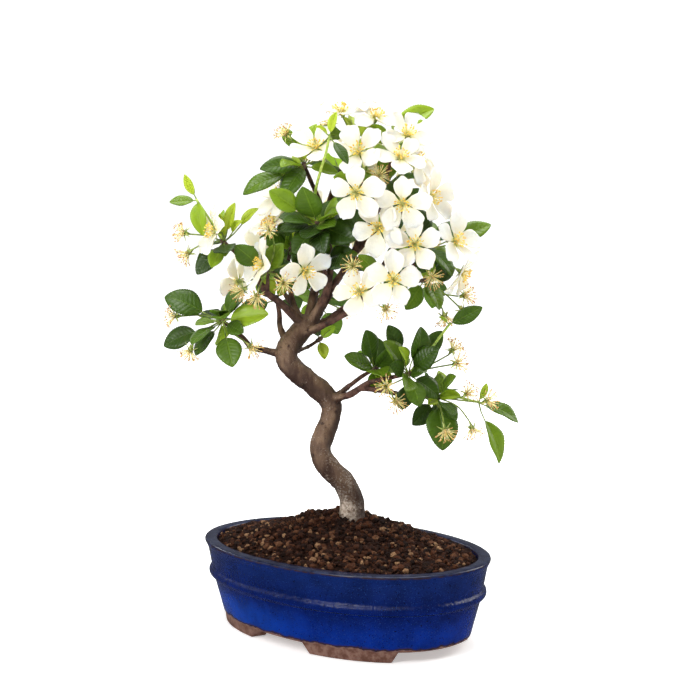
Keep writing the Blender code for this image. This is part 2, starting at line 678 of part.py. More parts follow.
def stem_object(name, route, resolution, home):
    """A tapering round stem through (point, radius) pairs, as a closed mesh."""
    curve = bpy.data.curves.new(name, "CURVE")
    curve.dimensions = "3D"
    curve.bevel_depth = MM
    curve.bevel_resolution = resolution
    curve.use_fill_caps = True
    curve.twist_mode = "MINIMUM"
    spline = curve.splines.new("POLY")
    spline.points.add(len(route) - 1)
    for point, (place, radius) in zip(spline.points, route):
        point.co = (*in_row(place), 1)
        point.radius = radius
    guide = bpy.data.objects.new(name + "_guide", curve)
    home.objects.link(guide)
    bpy.context.view_layer.update()
    graph = bpy.context.evaluated_depsgraph_get()
    mesh = bpy.data.meshes.new_from_object(guide.evaluated_get(graph))
    item = bpy.data.objects.new(name, mesh)
    home.objects.link(item)
    bpy.data.objects.remove(guide)
    tidy_mesh(item)
    return item


def blade_object(name, surface, thickness, home):
    """A leaf or petal of even thickness on a surface of few triangles."""
    points, faces = thick(*surface, thickness)
    item = mesh_object(name, [in_row(p) for p in points], faces, home)
    tidy_mesh(item)
    return item


def cone_between(name, start, end, first, last, sides, home):
    """A short cone from start to end."""
    axis = in_row(end) - in_row(start)
    shape = bmesh.new()
    bmesh.ops.create_cone(shape, cap_ends=True, segments=sides, radius1=first * MM, radius2=last * MM,
                          depth=axis.length)
    turn = axis.to_track_quat("Z", "Y").to_matrix().to_4x4()
    place = Matrix.Translation(in_row((Vector(start) + Vector(end)) * 0.5)) @ turn
    bmesh.ops.transform(shape, matrix=place, verts=shape.verts)
    mesh = bpy.data.meshes.new(name)
    shape.to_mesh(mesh)
    shape.free()
    item = bpy.data.objects.new(name, mesh)
    home.objects.link(item)
    return item


def faded_flower(name, flower, home):
    """A flower stem whose calyx still carries its spread stamens, as points round its rim."""
    item = stem_object(name, flower["stem"], 1, home)
    facing = in_row(flower["facing"]).normalized()
    middle = in_row(flower["middle"])
    shape = bmesh.new()
    shape.from_mesh(item.data)
    cap = max(shape.faces, key=lambda face: (face.calc_center_median() - middle).dot(facing)
              + 10 * face.normal.dot(facing) * MM)
    rim = list(cap.verts)
    core = cap.calc_center_median()
    bmesh.ops.delete(shape, geom=[cap], context="FACES_ONLY")
    top = shape.verts.new(core + facing * 2.4 * MM)
    for a, b in zip(rim, rim[1:] + rim[:1]):
        out = ((a.co + b.co) * 0.5 - core).normalized()
        tip = shape.verts.new(core + out * 7.4 * MM + facing * 7.8 * MM)
        shape.faces.new((a, b, tip))
        shape.faces.new((b, top, tip))
        shape.faces.new((top, a, tip))
    bmesh.ops.recalc_face_normals(shape, faces=shape.faces)
    shape.to_mesh(item.data)
    shape.free()
    return item


def raise_stamens(item, bloom):
    """Draws the bloom's middle up into a crown that runs out to points between the petals."""
    facing = in_row(bloom["axes"][2]).normalized()
    middle = in_row(bloom["middle"])
    shape = bmesh.new()
    shape.from_mesh(item.data)
    top = [face for face in shape.faces
           if (face.calc_center_median() - middle).length < 2.4 * MM and face.normal.dot(facing) > 0.5
           and (face.calc_center_median() - middle).dot(facing) > 0.4 * MM]
    raised = bmesh.ops.extrude_face_region(shape, geom=top)
    bmesh.ops.delete(shape, geom=[face for face in top if face.is_valid], context="FACES_ONLY")
    rim = [g for g in raised["geom"] if isinstance(g, bmesh.types.BMVert)]
    round_rim = []
    for vert in rim:
        offset = vert.co - middle
        out = offset - facing * offset.dot(facing)
        if out.length < 0.5 * MM:
            vert.co += facing * 1.6 * MM
        else:
            round_rim.append((vert, out))
    across = in_row(bloom["axes"][0]).normalized()
    upright = in_row(bloom["axes"][1]).normalized()
    round_rim.sort(key=lambda pair: math.atan2(pair[1].dot(upright), pair[1].dot(across)))
    for k, (vert, out) in enumerate(round_rim):
        if k % 2:
            vert.co += out * 1.1 + facing * 5.6 * MM
        else:
            vert.co += facing * 1.5 * MM - out * 0.3
    shape.to_mesh(item.data)
    shape.free()


def joined(name, pieces, material, home):
    """One body of the pieces, which overlap each other, by a single union."""
    first, *others = pieces
    if not others:
        first.name = name
        first.data.name = name
        first.data.materials.append(material)
        return first
    others_home = bpy.data.collections.new(name + "_pieces")
    bpy.context.scene.collection.children.link(others_home)
    for item in others:
        for where in list(item.users_collection):
            where.objects.unlink(item)
        others_home.objects.link(item)
    join = first.modifiers.new("join", "BOOLEAN")
    join.operation = "UNION"
    join.operand_type = "COLLECTION"
    join.collection = others_home
    join.solver = UNION_SOLVER
    bpy.context.view_layer.update()
    graph = bpy.context.evaluated_depsgraph_get()
    mesh = bpy.data.meshes.new_from_object(first.evaluated_get(graph))
    for item in others + [first]:
        bpy.data.objects.remove(item)
    bpy.data.collections.remove(others_home)
    item = bpy.data.objects.new(name, mesh)
    home.objects.link(item)
    mesh.materials.clear()
    mesh.materials.append(material)
    return item


def oval(inset, angle, half_length=POT_HALF_LENGTH, half_width=POT_HALF_WIDTH):
    """Point on the pot's oval outline, moved in by inset."""
    power = 2 / POT_SQUARENESS
    c = math.cos(angle)
    s = math.sin(angle)
    return (math.copysign(abs(c) ** power, c) * (half_length - inset),
            math.copysign(abs(s) ** power, s) * (half_width - inset))


POT_INSIDE = ((21.5, FLOOR_HEIGHT), (18.5, 17.0), (12.2, 44.0), (9.2, 62.3))
POT_LIP = ((8.0, POT_HEIGHT), (1.2, POT_HEIGHT), (0.0, 62.3))
POT_OUTSIDE = ((0.5, 60.2), (1.9, 58.2), (4.0, 47.5), (5.0, 42.6), (3.2, 40.2), (3.0, 37.0),
               (6.3, 34.2), (7.6, 31.0), (11.0, 18.0), (14.0, BASE_HEIGHT))


def oval_loft(shape, profile, sides):
    """Rings of the oval through (inset, height) pairs, bridged one to the next."""
    rings = []
    for inset, height in profile:
        ring = []
        for i in range(sides):
            x, y = oval(inset, 2 * math.pi * i / sides)
            ring.append(shape.verts.new((x * MM, y * MM, height * MM)))
        rings.append(ring)
    for low, high in zip(rings, rings[1:]):
        for i in range(sides):
            k = (i + 1) % sides
            shape.faces.new((low[i], low[k], high[k], high[i]))
    return rings


def make_pot(material, home):
    shape = bmesh.new()
    rings = oval_loft(shape, POT_INSIDE + POT_LIP + POT_OUTSIDE, POT_SIDES)
    shape.faces.new(rings[0])
    shape.faces.new(list(reversed(rings[-1])))
    bmesh.ops.recalc_face_normals(shape, faces=shape.faces)
    mesh = bpy.data.meshes.new("pot_body")
    shape.to_mesh(mesh)
    shape.free()
    body = bpy.data.objects.new("pot_body", mesh)
    home.objects.link(body)
    feet = []
    for quarter, (first, last) in enumerate(((33, 77), (103, 147), (213, 257), (283, 327))):
        foot = bmesh.new()
        corners = []
        steps = 5
        for i in range(steps + 1):
            column = []
            for height, slant in ((BASE_HEIGHT + 1.5, -1.6), (0.0, 2.4)):
                angle = math.radians(first + slant + (last - first - 2 * slant) * i / steps)
                for inset in (FOOT_INSET, FOOT_INSET + FOOT_DEPTH):
                    x, y = oval(inset, angle)
                    column.append(foot.verts.new((x * MM, y * MM, height * MM)))
            corners.append(column)
        for a, b in zip(corners, corners[1:]):
            for k, m in ((0, 1), (1, 3), (3, 2), (2, 0)):
                foot.faces.new((a[k], a[m], b[m], b[k]))
        for end in (corners[0], corners[-1]):
            foot.faces.new((end[0], end[1], end[3], end[2]))
        bmesh.ops.recalc_face_normals(foot, faces=foot.faces)
        mesh = bpy.data.meshes.new(f"foot_{quarter}")
        foot.to_mesh(mesh)
        foot.free()
        item = bpy.data.objects.new(f"foot_{quarter}", mesh)
        home.objects.link(item)
        feet.append(item)
    pot = joined("pot", [body] + feet, material, home)
    for side in (-1, 1):
        drill = cone_between(f"drain_cutter_{side + 1}", (0, 0, 0), (0, 0, FLOOR_HEIGHT + 10),
                             DRAIN_RADIUS, DRAIN_RADIUS, 14, CUTTERS)
        drill.location = (side * DRAIN_OFFSET * MM, 0, 0)
        drill.hide_render = True
        drill.display_type = "WIRE"
        cut = pot.modifiers.new("drain", "BOOLEAN")
        cut.operation = "DIFFERENCE"
        cut.object = drill
    return pot


def make_screen(name, side, material, home):
    """A square of plastic mesh over a drainage hole, lying on the pot's floor."""
    shape = bmesh.new()
    bmesh.ops.create_cube(shape, size=1)
    bmesh.ops.scale(shape, vec=(SCREEN_SIDE * MM, SCREEN_SIDE * MM, SCREEN_THICKNESS * MM),
                    verts=shape.verts)
    mesh = bpy.data.meshes.new(name)
    shape.to_mesh(mesh)
    shape.free()
    screen = bpy.data.objects.new(name, mesh)
    home.objects.link(screen)
    screen.location = (side * DRAIN_OFFSET * MM, 0, (FLOOR_HEIGHT + GAP + SCREEN_THICKNESS / 2) * MM)
    mesh.materials.append(material)
    holes = bpy.data.collections.new(name + "_holes")
    CUTTERS.children.link(holes)
    for row in (-1, 0, 1):
        for column in (-1, 0, 1):
            peg = bmesh.new()
            bmesh.ops.create_cube(peg, size=5.2 * MM)
            peg_mesh = bpy.data.meshes.new("peg")
            peg.to_mesh(peg_mesh)
            peg.free()
            item = bpy.data.objects.new(f"{name}_peg_{row + 1}{column + 1}", peg_mesh)
            item.location = screen.location + Vector((row, column, 0)) * 7.4 * MM
            item.hide_render = True
            item.display_type = "WIRE"
            holes.objects.link(item)
    cut = screen.modifiers.new("holes", "BOOLEAN")
    cut.operation = "DIFFERENCE"
    cut.operand_type = "COLLECTION"
    cut.collection = holes
    return screen


def soil_height(x, y, share):
    """Height of the mound: highest by the trunk, sinking to just under the lip at the wall."""
    crest = in_row((-4, 8, 0)) / MM
    away = math.hypot(x - crest.x, y - crest.y)
    hill = 18.0 * math.exp(-(away / 50.0) ** 2)
    return 61.3 + (6.0 + hill) * (1 - share ** 4)


def make_soil(material, home):
    rng = random.Random(21)
    wall = [(inset + GAP, height) for inset, height in POT_INSIDE[:3]]
    wall[0] = (wall[0][0], FLOOR_HEIGHT + 2 * GAP + SCREEN_THICKNESS)
    edge = 9.2 + (12.2 - 9.2) * (62.3 - SOIL_EDGE) / (62.3 - 44.0) + GAP
    shape = bmesh.new()
    sides = POT_SIDES
    rings = oval_loft(shape, wall + [(edge, SOIL_EDGE)], sides)
    shape.faces.new(rings[0])
    below = rings[-1]
    levels = 7
    for level in range(1, levels + 1):
        share = 1 - level / (levels + 0.6)
        ring = []
        for i in range(sides):
            angle = 2 * math.pi * i / sides
            x, y = oval(edge, angle)
            trunk = in_row((6, 0, 0)) / MM
            loose = min(1.0, 1.3 * share)
            x = x * share + trunk.x * (1 - share) + rng.uniform(-1.5, 1.5) * loose
            y = y * share + trunk.y * (1 - share) + rng.uniform(-1.5, 1.5) * loose
            z = soil_height(x, y, share) + rng.uniform(-1.4, 1.4)
            ring.append(shape.verts.new((x * MM, y * MM, z * MM)))
        for i in range(sides):
            k = (i + 1) % sides
            shape.faces.new((below[i], below[k], ring[k], ring[i]))
        below = ring
    shape.faces.new(below)
    bmesh.ops.triangulate(shape, faces=shape.faces)
    bmesh.ops.recalc_face_normals(shape, faces=shape.faces)
    mesh = bpy.data.meshes.new("soil")
    shape.to_mesh(mesh)
    shape.free()
    soil = bpy.data.objects.new("soil", mesh)
    home.objects.link(soil)
    mesh.materials.append(material)
    hole = cone_between("trunk_hole_cutter", (6, 0, TRUNK[0][2] - GAP), (6, 0, 130),
                        TRUNK_HOLE_RADIUS, TRUNK_HOLE_RADIUS, 24, CUTTERS)
    hole.hide_render = True
    hole.display_type = "WIRE"
    cut = soil.modifiers.new("hole", "BOOLEAN")
    cut.operation = "DIFFERENCE"
    cut.object = hole
    return soil


def make_wood(material, home):
    rng = random.Random(3)
    trunk = [(Vector(p[:3]), p[3] * rng.uniform(0.97, 1.03)) for p in smooth_route(TRUNK, 9)]
    pieces = [stem_object("trunk", trunk, 3, home)]
    for name, branch in BRANCHES.items():
        pieces.append(stem_object(name, branch_route(name, 21), 1 if branch[0] > 2.4 else 0, home))
    return joined("trunk_and_branches", pieces, material, home)


def make_spray(name, plan, material, home):
    """Leaves, soft shoots, flower stems, calyxes and faded flowers of one spur."""
    spur, way = spur_of(SPRAYS[name])
    pieces = [cone_between(name + "_spur", spur - way * 2.05, spur + way * 2.4, 1.6, 2.0, 6, home)]
    for i, stem in enumerate(plan["shoots"]):
        pieces.append(stem_object(f"{name}_shoot_{i}", stem, 0, home))
    for i, flower in enumerate(plan["flowers"]):
        pieces.append(stem_object(f"{name}_pedicel_{i}", flower["stem"], 0, home))
    for i, flower in enumerate(plan["faded"]):
        pieces.append(faded_flower(f"{name}_faded_{i}", flower, home))
    for i, leaf in enumerate(plan["leaves"]):
        pieces.append(blade_object(f"{name}_leaf_{i}", leaf_surface(leaf), LEAF_THICKNESS, home))
    return joined(name + "_spray", pieces, material, home)


def make_bunch(name, blooms, material, home):
    """Blooms whose petals touch, each with its middle and its stamens."""
    pieces = []
    for k, bloom in enumerate(blooms):
        points, faces = thick(*bloom_surface(bloom), PETAL_THICKNESS)
        item = mesh_object(f"{name}_bloom_{k}", [in_row(p) for p in points], faces, home)
        tidy_mesh(item)
        raise_stamens(item, bloom)
        pieces.append(item)
    return joined(name, pieces, material, home)


UNION_SOLVER = "MANIFOLD"
for old in list(bpy.data.objects):
    bpy.data.objects.remove(old)
PART = bpy.data.collections.new("crabapple_bonsai")
bpy.context.scene.collection.children.link(PART)
CUTTERS = bpy.data.collections.new("cutters")
bpy.context.scene.collection.children.link(CUTTERS)

GLAZE = paint("cobalt_glaze", (0.006, 0.02, 0.16), 0.2)
SCREEN = paint("dark_plastic", (0.02, 0.02, 0.02), 0.6)
SOIL = paint("bark_and_clay_soil", (0.045, 0.018, 0.01), 0.95)
BARK = paint("bark", (0.16, 0.11, 0.075), 0.85)
LEAF = paint("leaf_green", (0.06, 0.13, 0.015), 0.5)
PETAL = paint("white_petal", (0.9, 0.88, 0.78), 0.6)

make_pot(GLAZE, PART)
make_screen("drain_screen_left", -1, SCREEN, PART)
make_screen("drain_screen_right", 1, SCREEN, PART)
make_soil(SOIL, PART)
make_wood(BARK, PART)
PLAN, BUNCHES = plan_crown()
for spray_name, spray_plan in PLAN.items():
    make_spray(spray_name, spray_plan, LEAF, PART)
for number, bunch_blooms in enumerate(BUNCHES, 1):
    make_bunch(f"blossom_{number:02d}", bunch_blooms, PETAL, PART)

# The middle of the whole plant's footprint becomes the origin.
bpy.context.view_layer.update()
corners = [item.matrix_world @ Vector(corner) for item in PART.objects for corner in item.bound_box]
middle_x = (min(c.x for c in corners) + max(c.x for c in corners)) / 2
middle_y = (min(c.y for c in corners) + max(c.y for c in corners)) / 2
for item in list(PART.objects) + list(CUTTERS.all_objects):
    item.location.x -= middle_x
    item.location.y -= middle_y
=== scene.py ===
"""A crabapple bonsai in flower in its cobalt-glazed oval pot, dressed for a soft white studio."""

import math
import random

import bmesh
import bpy
from mathutils import Matrix, Vector, noise
from mathutils.bvhtree import BVHTree


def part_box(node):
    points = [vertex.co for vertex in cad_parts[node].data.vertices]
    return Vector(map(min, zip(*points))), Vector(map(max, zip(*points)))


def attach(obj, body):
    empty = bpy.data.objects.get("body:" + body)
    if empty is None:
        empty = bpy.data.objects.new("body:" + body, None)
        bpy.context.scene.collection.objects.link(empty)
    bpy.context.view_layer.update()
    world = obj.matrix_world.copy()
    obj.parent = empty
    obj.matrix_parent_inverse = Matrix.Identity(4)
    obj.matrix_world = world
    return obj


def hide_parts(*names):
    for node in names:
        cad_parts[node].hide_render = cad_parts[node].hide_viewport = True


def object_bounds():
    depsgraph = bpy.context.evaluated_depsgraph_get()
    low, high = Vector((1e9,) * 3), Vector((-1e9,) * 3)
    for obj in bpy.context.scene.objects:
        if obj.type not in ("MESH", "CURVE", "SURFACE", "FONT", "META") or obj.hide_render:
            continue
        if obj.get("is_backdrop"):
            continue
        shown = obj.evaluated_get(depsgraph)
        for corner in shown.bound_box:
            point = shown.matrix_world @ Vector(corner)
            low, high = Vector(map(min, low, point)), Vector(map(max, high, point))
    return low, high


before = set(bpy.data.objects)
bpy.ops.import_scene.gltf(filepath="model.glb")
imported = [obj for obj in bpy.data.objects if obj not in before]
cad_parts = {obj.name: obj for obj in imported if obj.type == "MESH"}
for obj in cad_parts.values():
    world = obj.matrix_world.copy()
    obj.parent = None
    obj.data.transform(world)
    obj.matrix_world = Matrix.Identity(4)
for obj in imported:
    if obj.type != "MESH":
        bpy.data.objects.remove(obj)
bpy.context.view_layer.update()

MM = 0.001

# Pot
POT_HALF_LENGTH = 120.0
POT_HALF_WIDTH = 82.0
POT_HEIGHT = 63.5
POT_SQUARENESS = 2.14
POT_SIDES = 32
BASE_HEIGHT = 7.5
FLOOR_HEIGHT = 13.5
FOOT_INSET = 15.2
FOOT_DEPTH = 12.0
DRAIN_RADIUS = 7.5
DRAIN_OFFSET = 46.0
SCREEN_SIDE = 26.0
SCREEN_THICKNESS = 0.8
GAP = 0.35
SOIL_EDGE = 60.5

# Tree
FRONT_TURN = math.radians(44.7)
TRUNK_HOLE_RADIUS = 11.0
LEAF_THICKNESS = 0.65
PETAL_THICKNESS = 0.65
PETAL_LENGTH = 20.5
PETIOLE_WIDTH = 1.3
PEDICEL_RADIUS = 0.65
CLEARANCE = 0.7
LEAF_TRIES = 40
LONG_LEAF = 28
BLOOM_TRIES = 60

# Trunk: across, back, up, radius
TRUNK = (
    (6, 0, 50, 10.4), (6, 0, 68, 10.2), (6, 0, 81, 9.8), (6, 0, 96, 8.8), (0, -3, 110, 8.3),
    (-13, -5, 124, 8.1), (-17, -4, 134, 7.9), (-14, 0, 145, 7.6), (-10, 3, 155, 7.3),
    (-9, 4, 165, 7.4), (-15, 2, 175, 8.1), (-29, -2, 187, 8.0), (-40, -4, 198, 8.0),
    (-41, -3, 206, 7.9), (-36, 0, 215, 7.7), (-30, 2, 222, 7.3), (-25, 4, 230, 5.6),
)

# Branches: radius where each leaves the older wood, radius at its tip, and its route
BRANCHES = {
    "low_left": (3.4, 1.5, (-37, -2, 201), (-57, -6, 207), (-67, -8, 209), (-72, -9, 216), (-87, -12, 229)),
    "stub": (2.9, 1.4, (-37, 1, 208), (-46, 6, 221), (-47, 10, 233), (-49, 12, 243)),
    "mid_left": (3.8, 1.4, (-30, 0, 226), (-45, -8, 241), (-55, -12, 249), (-62, -12, 260),
                 (-70, -9, 271), (-86, -6, 285)),
    "left_mid_spur": (1.9, 1.3, (-55, -12, 249), (-54, -15, 256), (-54, -17, 264)),
    "brown": (2.9, 1.4, (-28, 4, 224), (-36, 8, 238), (-39, 10, 250), (-41, 7, 265), (-38, 0, 282)),
    "leader": (4.3, 1.5, (-25, 3, 224), (-15, -4, 243), (-11, -6, 254), (-9, -6, 271),
               (-11, -10, 286), (-18, -18, 298)),
    "leader_spur": (2.0, 1.3, (-11, -6, 255), (-13, -11, 263), (-14, -17, 271)),
    "second": (4.3, 1.5, (-26, 5, 224), (-21, 14, 250), (-16, 20, 266), (-14, 22, 286),
               (-17, 19, 312), (-24, 8, 330), (-28, 0, 340)),
    "top": (2.7, 1.4, (-15, 21, 296), (-8, 15, 322), (1, 6, 344), (5, 0, 361)),
    "right_up": (3.9, 1.5, (-23, 2, 224), (-8, 2, 252), (0, 0, 264), (9, -4, 281), (13, -12, 305),
                 (13, -21, 328)),
    "upper_right": (2.6, 1.4, (8, -4, 279), (22, -4, 305), (30, -5, 330), (37, -8, 351)),
    "right_mid": (2.2, 1.4, (4, -2, 272), (18, -7, 287), (30, -12, 298), (40, -16, 306)),
    "right_low": (3.2, 1.4, (-31, -1, 218), (-15, -8, 225), (-2, -14, 232), (10, -20, 240), (25, -30, 262)),
    "right_back": (3.7, 1.4, (-28, 3, 221), (-10, 8, 229), (8, 12, 241), (31, 13, 252), (59, 8, 257)),
    "right_side": (2.5, 1.4, (27, 13, 251), (43, 7, 261), (54, -3, 271), (61, -11, 281)),
    "arm": (3.6, 1.4, (-12, 2, 170), (3, -6, 174), (11, -10, 179), (18, -12, 184), (30, -14, 187),
            (47, -16, 191)),
    "arm_inner": (2.4, 1.3, (-9, 1, 170), (7, 4, 182), (14, 6, 187), (23, 6, 192)),
    "arm_tip": (2.6, 1.4, (12, -10, 180), (29, -10, 178), (42, -8, 175), (56, -4, 174), (68, -2, 172)),
    "trunk_twig": (1.9, 1.3, (-35, 0, 206), (-26, 12, 208), (-18, 17, 213)),
    "back_left": (2.5, 1.3, (-34, 7, 235), (-43, 20, 246), (-52, 32, 262)),
    "back_mid": (2.5, 1.3, (-17, 19, 262), (-14, 34, 276), (-12, 47, 291)),
    "back_top": (2.2, 1.3, (-15, 21, 296), (-8, 31, 316), (-2, 37, 335)),
    "back_right": (2.5, 1.3, (10, 12, 242), (24, 26, 258), (37, 37, 282)),
    "back_upper": (2.1, 1.3, (20, -4, 301), (28, 12, 312), (32, 25, 326)),
    "back_low": (2.3, 1.3, (-29, 3, 221), (-25, 22, 229), (-20, 42, 242)),
}

